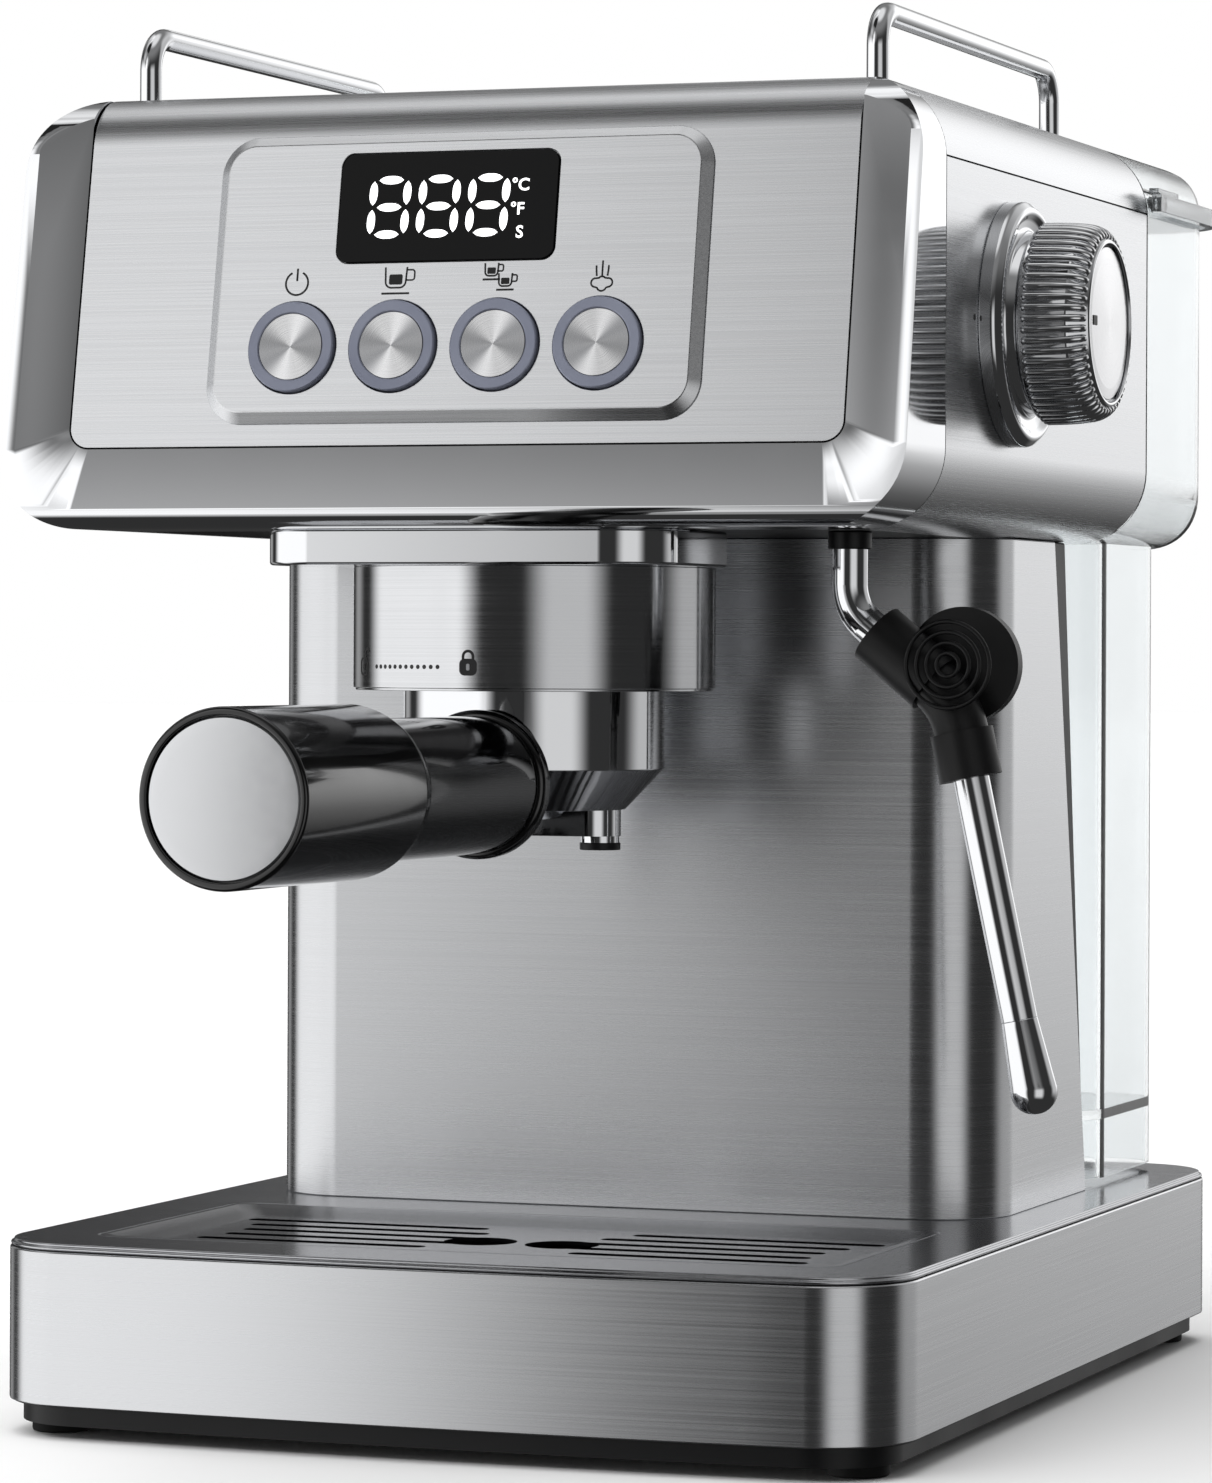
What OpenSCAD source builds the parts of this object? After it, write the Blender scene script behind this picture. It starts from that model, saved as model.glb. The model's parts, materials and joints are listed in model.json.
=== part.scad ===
// Espresso machine with a twist-in filter holder, steam wand and lift-off water tank.
// X points to the right, Y to the back and Z up. The machine stands on z = 0.

/* [Base] */
// Width of the base over its steel skirt
base_w = 215; // [190:1:260]
// Depth of the base over its steel skirt, without the bow of the front
base_d = 292; // [270:1:352]
// Corner radius of the base, seen from above
base_r = 21.5; // [12:0.5:28]
// How far the front of the base bows out at its middle
base_bow = 2.4; // [1.5:0.1:4]
// Height of the gap under the base pan
foot_gap = 3; // [2:0.5:8]
// Height of the steel skirt
skirt_h = 34.7; // [30:0.1:45]
// Thickness of the deck plate on top of the skirt
deck_t = 1.5; // [1:0.1:3]
// Thickness of the bent steel sheet
sheet_t = 0.9; // [0.8:0.1:1.6]
// Thickness of moulded walls
wall = 2.4; // [1.8:0.1:3]
// Diameter of a rubber foot
foot_d = 13.4; // [10:0.2:18]
// Distance of a foot's centre from the side and the front
foot_inset = 18.3; // [16:0.1:24]

/* [Drip tray] */
// Width of the opening in the deck
grille_w = 178; // [150:1:184]
// Depth of the opening in the deck
grille_d = 84; // [70:1:90]
// Distance of the opening from the front of the base
grille_setback = 20; // [18:1:26]
// Depth of the dished floor under the deck
dish_h = 2.2; // [1.5:0.1:3]
// Width of the sloped wall of the dish
dish_slope = 6; // [4:0.5:9]
// Height of the drip tray
tray_h = 26; // [18:1:28]
// Rows of slots in the grille
slot_rows = 6; // [3:1:6]
// Width of a slot in the grille
slot_w = 4.6; // [3:0.1:5.5]
// Diameter of a finger hole in the grille
finger_d = 17; // [14:0.5:20]

/* [Column] */
// Width of the column
column_w = 186; // [160:1:188]
// Distance of the column from the front of the base
column_setback = 126; // [122:1:134]
// Radius of the column's front corners
column_r = 20; // [10:1:26]
// Depth of the column's steel sides under the head
column_top_d = 55; // [45:1:62]
// Depth of the column's steel sides at the deck
column_foot_d = 86; // [75:1:88]
// How far the black back shows behind the steel, under the head
back_top = 13; // [6:1:16]
// How far the black back shows behind the steel, at the deck
back_foot = 2.5; // [1.5:0.5:4]

/* [Head] */
// Width of the head
head_w = 214.6; // [190:0.2:260]
// Height of the head's underside above the table
head_z = 205; // [170:1:250]
// Height of the head
head_h = 99.5; // [95:0.5:110]
// Corner radius of the head, seen from the front
head_r = 18; // [12:0.5:22]
// Distance of the chrome bezel's rear edge from the front of the base
head_setback = 39.5; // [36:0.5:44]
// Depth of the head behind the bezel
head_d = 173.5; // [165:0.5:180]
// Height of the top cover's rolled sides
cover_h = 17.5; // [15:0.5:22]
// Lean of the front face
lean = 10; // [6:1:13]
// Depth of the bezel at the underside, from its rear edge to its lip
bezel_d = 32; // [28:0.5:36]
// Width of the front panel
panel_w = 184; // [165:1:186]
// Height of the front panel's lower edge above the underside
panel_rise = 18.5; // [16:0.5:22]
// Depth of the panel below the bezel's lip
panel_sink = 2.65; // [2:0.05:4]
// Radius of the roll from the front panel to the top
roll_r = 14; // [8:0.5:18]
// Width of the bezel's flat lip
lip_w = 3; // [2:0.1:5]

/* [Controls] */
// Width of the raised control frame
frame_w = 118; // [110:1:140]
// Height of the raised control frame
frame_h = 66.4; // [62:0.2:70]
// Height of the frame's lower edge above the panel's lower edge
frame_rise = 4.9; // [4:0.1:7]
// How far the control frame stands out
frame_t = 2.2; // [1.6:0.1:3]
// Width of the display window
display_w = 52; // [44:1:56]
// Height of the display window
display_h = 25; // [20:1:26]
// Height of the display's middle above the panel's lower edge
display_rise = 53.8; // [52:0.2:55]
// Sideways place of the display
display_x = -2.7; // [-6:0.1:4]
// Diameter of a button
button_d = 20.6; // [17:0.2:21]
// Distance between two buttons
button_pitch = 24.3; // [23.6:0.1:26]
// Sideways place of the row of buttons
button_x = -1.4; // [-4:0.1:2]
// Height of the buttons above the panel's lower edge
button_rise = 22; // [20:0.2:23]
// Travel of a button
button_travel = 1.2; // [0.6:0.1:1.5]
// Diameter of the spun metal disc in a button
disc_d = 15.2; // [12:0.2:16]

/* [Steam knob] */
// Diameter of the knob over its flutes
knob_d = 46.2; // [38:0.2:50]
// Distance of the knob's face from the side of the head
knob_reach = 23.2; // [20:0.2:28]
// Diameter of the plate behind the knob
dial_d = 56; // [52:0.5:60]
// Thickness of the plate behind the knob
dial_t = 6.5; // [5:0.1:7.5]
// Diameter of the satin disc in the knob's face
face_d = 34.6; // [28:0.2:35]
// Distance of the knob's axis behind the bezel's rear edge
knob_y = 52.8; // [48:0.2:80]
// Height of the knob's axis above the underside
knob_z = 47.7; // [40:0.1:56]
// Flutes around the knob
flutes = 56; // [36:1:60]

/* [Group] */
// Distance of the group's axis from the front of the base
group_setback = 69; // [67:0.5:71]
// Thickness of the chrome collar's wall
collar_wall = 4.3; // [3:0.1:6]
// Height of the chrome collar
collar_h = 28.2; // [26:0.1:32]
// Width of the mount plate above the collar
mount_w = 97; // [90:1:104]
// Depth of the mount plate
mount_d = 48; // [44:1:56]
// Thickness of the mount plate
mount_t = 8; // [6:0.5:10]
// Outer diameter of the filter holder
holder_d = 60.2; // [50:0.2:74]
// How far the filter holder's lugs reach into the collar
lug_l = 6.9; // [5:0.1:9]
// Height of the filter holder's straight wall below the collar
holder_drop = 17.9; // [14:0.1:22]
// Height of the tapered floor of the filter holder
taper_h = 9.4; // [8:0.1:12]
// Distance between the two outlets
spout_pitch = 32.6; // [26:0.2:36]

/* [Handle] */
// Distance of the handle's end from the group's axis
handle_reach = 176; // [150:1:190]
// Largest diameter of the handle
handle_d = 37.4; // [34:0.2:42]
// Diameter of the handle's slim part
neck_d = 31; // [27:0.5:33]
// Length of the handle's thick part
grip_l = 64; // [50:1:70]
// Diameter of the metal cap in the handle's end
cap_d = 33.5; // [28:0.5:34]

/* [Steam wand] */
// Sideways place of the wand's swivel
wand_x = 78.7; // [76:0.1:82]
// Distance of the wand's swivel from the front of the base
wand_setback = 61; // [56:1:66]
// Diameter of the wand's tube
wand_d = 8.2; // [6.8:0.1:10]
// Lean of the wand's lower part
wand_lean = 12.1; // [8:0.1:14]
// Length of the wand below its grip
wand_l = 79; // [60:1:84]

/* [Cup rails] */
// Diameter of the rail's rod
rail_d = 5; // [4:0.5:6]
// Distance between the rails
rail_gap = 177; // [150:1:186]
// Height of the rails above the top
rail_h = 18.5; // [16:0.5:30]
// Length of a rail
rail_l = 146; // [120:1:156]
// Distance of a rail's front leg behind the bezel's rear edge
rail_y = 7; // [6:0.5:14]
// Bend radius of the rail's rod
rail_r = 8; // [6:0.5:10]

/* [Water tank] */
// Depth of the tank's upper part
tank_d = 68.5; // [60:0.5:74]
// Width of the tank's lower part
tank_w = 187; // [170:1:189]
// Height of the tank's bottom edge above the deck
tank_gap = 2; // [1.5:0.1:4]
// Height of the tank's floor above its bottom edge
tank_floor = 17; // [14:0.5:24]
// Height of the lid
lid_h = 12.2; // [10:0.1:14]
// Height of the carrying handle's strip
bail_h = 4.4; // [3:0.1:6]
// Thickness of the carrying handle's strip
bail_t = 2.4; // [1.8:0.1:3]

/* [Hidden] */
$fn = 64;

eps = 0.01;
seam = 0.3;            // gap at a seam between two covers
play = 0.3;            // gap between pieces that lift out of each other
run = 0.05;            // radial clearance of a running fit
slip = 0.2;            // clearance of a piece set in a pocket
side_x = head_w / 2;

// heights
pan_top = foot_gap + wall;
skirt_z = foot_gap + 4.7;
skirt_top = skirt_z + skirt_h;
deck_z = skirt_top + seam;
deck_top = deck_z + deck_t;
head_top = head_z + head_h;
cover_z = head_top - cover_h;
collar_top = head_z - mount_t;
collar_z = collar_top - collar_h;

// depths
front_y = -base_d / 2;
column_y = front_y + column_setback;
bezel_y = front_y + head_setback;
rear_y = bezel_y + head_d;
group_y = front_y + group_setback;
grille_y = front_y + grille_setback + grille_d / 2;
wand_y = front_y + wand_setback;
tank_y = rear_y + 2 * seam;
tank_back = tank_y + tank_d;
gland_t = 2.5;

// the whole machine's box, whose middle is the frame's origin
bail_out = side_x + 1.4 + bail_t;
knob_x = side_x + knob_reach;
handle_end = group_y - handle_reach;
shift = [(bail_out - knob_x) / 2, -(base_d / 2 + gland_t + handle_end) / 2, 0];

module placed() translate(shift) children();

// a flat outline drawn in X and Z, pushed back along Y from y0 to y1
module along_y(y0, y1) translate([0, y1, 0]) rotate([90, 0, 0]) linear_extrude(y1 - y0) children();

// a side outline drawn in Y and Z, pushed along X from x0 to x1
module along_x(x0, x1) translate([x0, 0, 0]) rotate([90, 0, 90]) linear_extrude(x1 - x0) children();

// a plan outline drawn in X and Y, pushed up from z0 to z1
module along_z(z0, z1) translate([0, 0, z0]) linear_extrude(z1 - z0) children();

// a box that is centred in X
module slab(w, y0, y1, z0, z1) translate([-w / 2, y0, z0]) cube([w, y1 - y0, z1 - z0]);

// a round bar along X, Y or Z
module bar_x(r, x0, x1) translate([x0, 0, 0]) rotate([0, 90, 0]) cylinder(r = r, h = x1 - x0);
module bar_y(r, y0, y1) translate([0, y1, 0]) rotate([90, 0, 0]) cylinder(r = r, h = y1 - y0);
module bar_z(r, z0, z1) translate([0, 0, z0]) cylinder(r = r, h = z1 - z0);

module ring(ro, ri, z0, z1) difference() {
  bar_z(ro, z0, z1);
  bar_z(ri, z0 - 1, z1 + 1);
}

// a rectangle with four round corners, centred in X, from y0 up to y1
module round_rect(w, y0, y1, r) {
  translate([-w / 2 + r, y0]) square([w - 2 * r, y1 - y0]);
  translate([-w / 2, y0 + r]) square([w, y1 - y0 - 2 * r]);
  for (x = [-w / 2 + r, w / 2 - r], y = [y0 + r, y1 - r]) translate([x, y]) circle(r);
}

// a rectangle with round corners at its low y only
module round_front(w, y0, y1, r) {
  translate([-w / 2 + r, y0]) square([w - 2 * r, y1 - y0]);
  translate([-w / 2, y0 + r]) square([w, y1 - y0 - r]);
  for (x = [-w / 2 + r, w / 2 - r]) translate([x, y0 + r]) circle(r);
}

// a rectangle with round corners at its high y only
module round_back(w, y0, y1, r) {
  translate([-w / 2 + r, y0]) square([w - 2 * r, y1 - y0]);
  translate([-w / 2, y0]) square([w, y1 - y0 - r]);
  for (x = [-w / 2 + r, w / 2 - r]) translate([x, y1 - r]) circle(r);
}

// points of an arc about (cx, cy), from angle a0 to a1
function arc(cx, cy, r, a0, a1, n = 10) =
  [for (i = [0:n]) let (a = a0 + (a1 - a0) * i / n) [cx + r * cos(a), cy + r * sin(a)]];

// ---------------------------------------------------------------- base

// outline of the base, drawn in by inset; its front bows out as one long arc
module base_plan(inset = 0) {
  w = base_w - 2 * inset;
  d = base_d - 2 * inset;
  r = base_r - inset;
  x = w / 2 - r;
  bow_r = (x * x + base_bow * base_bow) / (2 * base_bow);
  round_rect(w, -d / 2, d / 2, r);
  polygon(concat(
    [[-x, 0]],
    [for (i = [0:16]) let (u = -x + 2 * x * i / 16)
      [u, -d / 2 - base_bow + bow_r - sqrt(bow_r * bow_r - u * u)]],
    [[x, 0]]
  ));
}

foot_y = base_d / 2 - foot_inset;
foot_x = base_w / 2 - foot_inset + 5.9;
screw_y = foot_y - 18;
pan_inset = sheet_t;

module at_feet(y = foot_y) for (sx = [-1, 1], sy = [-1, 1]) {
  translate([sx * foot_x, sy * y, 0]) children();
}

gland_x = -60;
gland_z = skirt_z + 15;
gland_r = 5;
tray_w = grille_w - 5;
tray_y0 = grille_y - grille_d / 2 + 2.5;
tray_y1 = grille_y + grille_d / 2 - 2.5;
seat_y = tank_y + 36;

module base_pan() color("#1b1b1d") difference() {
  union() {
    along_z(foot_gap, skirt_z - seam) base_plan(3.2);
    along_z(foot_gap, deck_z) base_plan(pan_inset);
  }
  difference() {
    along_z(pan_top, deck_z + 1) base_plan(pan_inset + wall);
    for (y = [tray_y0 + 18, tray_y1 - 18]) slab(tray_w - 30, y - 1.5, y + 1.5, pan_top - 1, tray_z - play);
  }
  along_z(foot_gap - 1, skirt_z - seam) difference() {
    base_plan(-5);
    base_plan(3.2);
  }
  at_feet() bar_z(foot_d / 2 - 1.2, foot_gap - 1, pan_top - 1);
  at_feet(screw_y) bar_z(1.7, foot_gap - 1, pan_top + 1);
  translate([gland_x, 0, gland_z]) bar_y(gland_r, base_d / 2 - 6, base_d / 2);
}

module base_skirt() color("#b9babc") difference() {
  along_z(skirt_z, skirt_top) base_plan();
  along_z(skirt_z - 1, skirt_top + 1) base_plan(sheet_t);
  translate([gland_x, 0, gland_z]) bar_y(gland_r, base_d / 2 - 6, base_d / 2 + 1);
}

service_w = 60;

module deck_plate() color("#a9aaac") difference() {
  union() {
    along_z(deck_z, deck_z + deck_t / 2) base_plan(0.2);
    along_z(deck_z + deck_t / 2, deck_top) base_plan(0.9);
  }
  along_z(deck_z - 1, deck_top + 1)
    round_rect(grille_w, grille_y - grille_d / 2, grille_y + grille_d / 2, 6);
  slab(service_w, column_y + 14, column_y + 48, deck_z - 1, deck_top + 1);
  translate([0, seat_y, 0]) bar_z(seat_r, deck_z - 1, deck_top + 1);
}

module feet() color("#141414") at_feet() {
  bar_z(foot_d / 2, 0, foot_gap);
  bar_z(foot_d / 2 - 1.4, foot_gap - eps, pan_top - 1);
}

module base_screws() color("#8d8e90") at_feet(screw_y) {
  bar_z(3, foot_gap - 1.6, foot_gap);
  bar_z(1.6, foot_gap - eps, foot_gap + 12);
}

// ---------------------------------------------------------------- drip tray and grille

grille_z = deck_top - dish_h - sheet_t;
tray_top = grille_z - play;
tray_z = tray_top - tray_h;

module drip_tray() color("#202022") difference() {
  along_z(tray_z, tray_top) round_rect(tray_w, tray_y0, tray_y1, 8);
  along_z(tray_z + wall, tray_top + 1)
    round_rect(tray_w - 2 * wall, tray_y0 + wall, tray_y1 - wall, 6);
}

// one row of slots: two groups whose inner and outer ends follow shallow curves
module slot_row(i) {
  u = slot_rows > 1 ? 2 * i / (slot_rows - 1) - 1 : 0;
  x1 = grille_w / 2 - dish_slope - 14 + 8 * u * u;
  x0 = 14 + 16 * u * u * (u > 0 ? 0.4 : 1);
  y = grille_y + u * (grille_d / 2 - dish_slope - 10);
  for (s = [-1, 1]) translate([0, y]) {
    translate([s > 0 ? x0 : -x1, -slot_w / 2]) square([x1 - x0, slot_w]);
    for (x = [x0, x1]) translate([s * x, 0]) circle(slot_w / 2);
  }
}

finger_x = finger_d / 2 + 1.5;

module drip_grille() color("#9b9c9e") difference() {
  along_z(grille_z, deck_top)
    round_rect(grille_w - 2 * play, grille_y - grille_d / 2 + play, grille_y + grille_d / 2 - play, 5.7);
  hull() {
    along_z(deck_top, deck_top + eps)
      round_rect(grille_w - 4, grille_y - grille_d / 2 + 2, grille_y + grille_d / 2 - 2, 4, $fn = 32);
    along_z(deck_top - dish_h, deck_top - dish_h + eps) round_rect(
      grille_w - 4 - 2 * dish_slope, grille_y - grille_d / 2 + 2 + dish_slope,
      grille_y + grille_d / 2 - 2 - dish_slope, 3, $fn = 32
    );
  }
  along_z(grille_z - 1, deck_top) for (i = [0:slot_rows - 1]) slot_row(i);
  for (s = [-1, 1]) translate([s * finger_x, grille_y, 0]) bar_z(finger_d / 2, grille_z - 1, deck_top);
}

// ---------------------------------------------------------------- column

back_y0 = column_y + column_top_d;
back_y1 = column_y + column_foot_d;
column_z = deck_top;

// side outline between two lines that slant from the deck to the head
module slanted(foot_0, top_0, foot_1, top_1) polygon([
  [foot_0, column_z], [foot_1, column_z], [top_1, head_z], [top_0, head_z]
]);

module column_shell() color("#b4b5b7") intersection() {
  along_z(column_z, head_z) difference() {
    round_front(column_w, column_y, back_y1 + 1, column_r);
    translate([0, sheet_t])
      round_front(column_w - 2 * sheet_t, column_y, back_y1 + 2, column_r - sheet_t);
  }
  along_x(-base_w, base_w) slanted(column_y - 1, column_y - 1, back_y1, back_y0);
}

module column_back() color("#161617") {
  lap = 14;
  w = column_w - 2 * sheet_t - 2 * slip;
  difference() {
    along_x(-w / 2, w / 2)
      slanted(back_y1 - lap, back_y0 - lap, back_y1 + back_foot, back_y0 + back_top);
    along_x(-w / 2 + wall, w / 2 - wall) translate([-wall, 0])
      slanted(back_y1 - 40, back_y0 - 40, back_y1 + back_foot, back_y0 + back_top);
  }
}

module cord_gland() color("#101010") translate([gland_x, 0, gland_z]) difference() {
  union() {
    bar_y(gland_r - 0.1, base_d / 2 - 8, base_d / 2);
    bar_y(gland_r + 2.2, base_d / 2, base_d / 2 + gland_t);
  }
  bar_y(3.4, base_d / 2 - 9, base_d / 2 + gland_t + 1);
}

// ---------------------------------------------------------------- head

lip_y = bezel_y - bezel_d;
face_z = head_z + panel_rise;
face_y = lip_y + panel_rise * tan(lean) + panel_sink / cos(lean);
face_top = (head_top - face_z) / cos(lean);

// draws in the panel's own plane: x to the right, y up the leaning face, z outward
module on_face() translate([0, face_y, face_z]) rotate([90 - lean, 0, 0]) children();

module head_outline(inset = 0) round_rect(
  head_w - 2 * inset, head_z + inset, head_top - inset, head_r - inset
);

// side outline of a leaning front that stands out by n from the panel's plane, up to the top
function roll_center(n, r, top) = [
  face_y - n / cos(lean) + (sin(lean) * (top - r - face_z) + r) / cos(lean), top - r
];
function face_at(z, n) = face_y + (z - face_z) * tan(lean) - n / cos(lean);

module front_profile(n, r, z0, back, top = head_top) {
  c = roll_center(n, r, top);
  foot = 5;
  f = [face_at(z0 + foot, n) + foot / cos(lean), z0 + foot];
  polygon(concat(
    [[back, z0]],
    arc(f[0], f[1], foot, 270, 180 - lean, 10),
    arc(c[0], c[1], r, 180 - lean, 90, 20),
    [[back, top]]
  ));
}

module head_shell() color("#b9babc") difference() {
  along_y(bezel_y + seam, rear_y) head_outline();
  along_y(bezel_y, rear_y + 1) head_outline(sheet_t);
  slab(base_w * 2, bezel_y, rear_y + 1, cover_z - seam / 2, head_top + 1);
  slab(head_w - 2 * head_r - 6, bezel_y, rear_y + 1, head_z - 1, head_z + sheet_t + 1);
  translate([0, bezel_y + knob_y, head_z + knob_z]) bar_x(shaft_r + 2, side_x - 5, side_x + 5);
}

frame_edge = head_w / 2 - head_r - 3 - slip;

module head_frame() color("#19191b") difference() {
  union() {
    slab(2 * frame_edge, bezel_y, rear_y, head_z, head_z + wall);
    along_y(rear_y - wall, rear_y) head_outline(sheet_t);
  }
  at_group() bar_z(neck_r + slip, head_z - 1, head_z + wall + 1);
  translate([pump_x, pump_y, 0]) bar_z(7, head_z - 1, head_z + wall + 1);
  translate([board_x, pump_y, 0]) bar_z(6, head_z - 1, head_z + wall + 1);
  translate([wand_x, wand_y, 0]) bar_z(stem_r + run, head_z - 1, head_z + wall + 1);
}

rail_x = rail_gap / 2;
rail_y0 = bezel_y + rail_y;
rail_y1 = rail_y0 + rail_l;

module top_cover() color("#bdbec0") difference() {
  along_y(bezel_y + seam, rear_y) head_outline();
  along_y(bezel_y, rear_y + 1) head_outline(sheet_t);
  slab(base_w * 2, bezel_y, rear_y + 1, head_z - 1, cover_z + seam / 2);
  for (s = [-1, 1], y = [rail_y0 + rail_d / 2, rail_y1 - rail_d / 2]) {
    translate([s * rail_x, y, 0]) bar_z(rail_d / 2 - 0.5, head_top - 3, head_top + 1);
  }
}

gap = 0.4;

module front_bezel() color("#d5d6d8") difference() {
  intersection() {
    along_y(lip_y - 10, bezel_y) head_outline();
    along_x(-side_x, side_x) front_profile(panel_sink, roll_r + 2, head_z, bezel_y);
  }
  intersection() {
    along_y(lip_y - 10, bezel_y + 1) head_outline(wall);
    along_x(-side_x, side_x) front_profile(-wall - 0.6, roll_r - 2, head_z - 5, bezel_y + 1, head_top - wall);
  }
  hull() {
    on_face() along_z(-0.02, 0) round_front(panel_w + 1.8 * gap, -0.9 * gap, face_top + 20, 5, $fn = 64);
    on_face() along_z(panel_sink, panel_sink + 1)
      round_front(head_w - 2 * lip_w, lip_w - panel_rise / cos(lean), face_top + 20, head_r - lip_w, $fn = 64);
  }
  on_face() along_z(-60, 0.5) round_front(panel_w + 2 * gap, -gap, face_top + 20, 5);
  at_group() bar_z(neck_r + slip, head_z - 1, head_z + wall + 1);
}

module front_panel() color("#b6b7b9") difference() {
  intersection() {
    along_x(-panel_w / 2, panel_w / 2) difference() {
      front_profile(0, roll_r, head_z, bezel_y + seam);
      front_profile(-sheet_t, roll_r - sheet_t, head_z - 1, bezel_y + 2, head_top - sheet_t);
    }
    on_face() along_z(-60, 1) round_front(panel_w, 0, face_top + 20, 4.6);
  }
  on_face() button_holes(button_d / 2 + 0.5, -5, 1);
  on_face() along_z(-5, 1) display_cut(-2);
}

// ---------------------------------------------------------------- controls

module button_holes(r, z0, z1) for (i = [0:3]) translate([button_px(i), button_rise, 0]) bar_z(r, z0, z1);

function button_px(i) = button_x + (i - 1.5) * button_pitch;

module display_cut(grow) translate([display_x, 0]) round_rect(
  display_w + 2 * grow, display_rise - display_h / 2 - grow, display_rise + display_h / 2 + grow, 3 + grow / 2
);

module control_frame() color("#c3c4c6") on_face() difference() {
  hull() {
    along_z(0, 0.3) round_rect(frame_w, frame_rise, frame_rise + frame_h, 9, $fn = 64);
    along_z(frame_t - eps, frame_t)
      round_rect(frame_w - 5, frame_rise + 2.5, frame_rise + frame_h - 2.5, 6.5, $fn = 64);
  }
  button_holes(button_d / 2 + play, -1, frame_t + 1);
  along_z(-1, frame_t + 1) display_cut(slip);
}

module display_window() color("#060607") on_face() along_z(0, frame_t + 0.15) display_cut(0);

board_n = -12;

module display_board() color("#1d5a34") on_face() {
  along_z(board_n, board_n + 1.6) round_rect(frame_w - 8, frame_rise + 4, frame_rise + frame_h - 2, 2);
  translate([display_x, display_rise, board_n + 1.6]) along_z(0, -board_n - 1.6) square([44, 17], center = true);
  button_holes(3, board_n + 1.6, board_n + 4.8);
}

button_out = frame_t + button_travel + 0.1;

module button_ring(i) color("#8f93a8") on_face() translate([button_px(i), button_rise, 0]) difference() {
  union() {
    bar_z(button_d / 2, -sheet_t - 1.6, button_out);
    bar_z(button_d / 2 + 0.7, -sheet_t - 2.3, -sheet_t - 0.3);
  }
  bar_z(disc_d / 2 + run, button_out - 1.1, button_out + 1);
  bar_z(disc_d / 2 - 2, -sheet_t - 3, -sheet_t - 0.5);
}

module button_disc(i) color("#dcdde0") on_face() translate([button_px(i), button_rise, 0])
  bar_z(disc_d / 2, button_out - 1.1, button_out - 0.1);

module power_button() button_ring(0);
module power_disc() button_disc(0);
module single_button() button_ring(1);
module single_disc() button_disc(1);
module double_button() button_ring(2);
module double_disc() button_disc(2);
module steam_button() button_ring(3);
module steam_disc() button_disc(3);

// ---------------------------------------------------------------- steam knob and valve

shaft_r = 4;
valve_reach = 30;

module at_knob() translate([0, bezel_y + knob_y, head_z + knob_z]) children();

module dial_plate() color("#c9cacc") at_knob() translate([side_x, 0, 0]) rotate([0, 90, 0])
  rotate_extrude() polygon([
    [shaft_r + 1, 0], [dial_d / 2, 0], [dial_d / 2, 1.2], [dial_d / 2 - 3, dial_t], [shaft_r + 1, dial_t]
  ]);

module knob_body() color("#bfc0c3") at_knob() difference() {
  intersection() {
    translate([side_x + dial_t + 0.5, 0, 0]) rotate([0, 90, 0])
      linear_extrude(knob_reach - dial_t - 0.5) difference() {
        circle(knob_d / 2);
        for (i = [0:flutes - 1]) rotate(i * 360 / flutes) translate([knob_d / 2 + 0.35, 0]) circle(0.95);
      }
    translate([side_x, 0, 0]) rotate([0, 90, 0]) rotate_extrude() polygon([
      [0, dial_t], [knob_d / 2, dial_t], [knob_d / 2, knob_reach - 4.6],
      [face_d / 2 + 1, knob_reach], [0, knob_reach]
    ]);
  }
  bar_x(face_d / 2 + run, knob_x - 1.4, knob_x + 1);
  bar_x(shaft_r, side_x, knob_x - 5);
}

module knob_face() color("#d4d5d7") at_knob() bar_x(face_d / 2, knob_x - 1.4, knob_x - 0.15);

module knob_shaft() color("#8a8b8d") at_knob() bar_x(shaft_r, side_x - valve_reach, knob_x - 5);

valve_x = side_x - valve_reach - 20;

module steam_valve() color("#b08d46") at_knob() difference() {
  union() {
    bar_x(12, valve_x, valve_x + 26);
    bar_x(8, valve_x + 26, side_x - 12);
    translate([valve_x + 11, 0, 0]) bar_z(7, -22, 0);
  }
  bar_x(shaft_r + run, side_x - valve_reach - 1, side_x);
  translate([valve_x + 11, 0, 0]) bar_z(2.5, -23, 0);
}

// ---------------------------------------------------------------- group

holder_r = holder_d / 2;
lug_r = holder_r + lug_l;
bore_r = lug_r + 0.5;
collar_r = bore_r + collar_wall;
neck_r = bore_r - 3.5;
basket_r = holder_r - 3.1;
screen_r = basket_r - 2.4;
ledge_z = collar_z + 5;
gasket_z = collar_top - 6;

module at_group() translate([0, group_y, 0]) children();

module mount_plate() color("#c8c9cb") difference() {
  union() {
    along_z(collar_top, head_z)
      round_front(mount_w, lip_y + 9, lip_y + 9 + mount_d, 14);
    at_group() bar_z(collar_r - 2, collar_top, head_z);
  }
  at_group() bar_z(neck_r, collar_top - 1, head_z + 1);
}

// a slice of a ring between two angles
module ring_slice(ro, ri, z0, z1, a0, a1) translate([0, 0, z0]) rotate([0, 0, a0])
  rotate_extrude(angle = a1 - a0) translate([ri, 0]) square([ro - ri, z1 - z0]);

module group_collar() color("#cfd0d2") at_group() {
  difference() {
    ring(collar_r, bore_r, collar_z, collar_top);
    ring(collar_r + 1, collar_r - 0.5, collar_z - 1, collar_z + 0.6);
  }
  for (a = [0, 180]) ring_slice(bore_r + eps, lug_r - 2.3, ledge_z, ledge_z + 4, a - 35, a + 85);
}

module group_gasket() color("#2b1d18") at_group() ring(neck_r - 0.5, screen_r + 0.4, gasket_z, collar_top);

module shower_screen() color("#c6c7c9") at_group() difference() {
  bar_z(screen_r, collar_top - 1.4, collar_top);
  bar_z(2.2, collar_top - 2, collar_top + 1);
  for (k = [1:3], i = [0:6 * k - 1]) rotate(i * 60 / k) translate([6 * k, 0, 0])
    bar_z(0.8, collar_top - 2, collar_top + 1);
}

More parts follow.
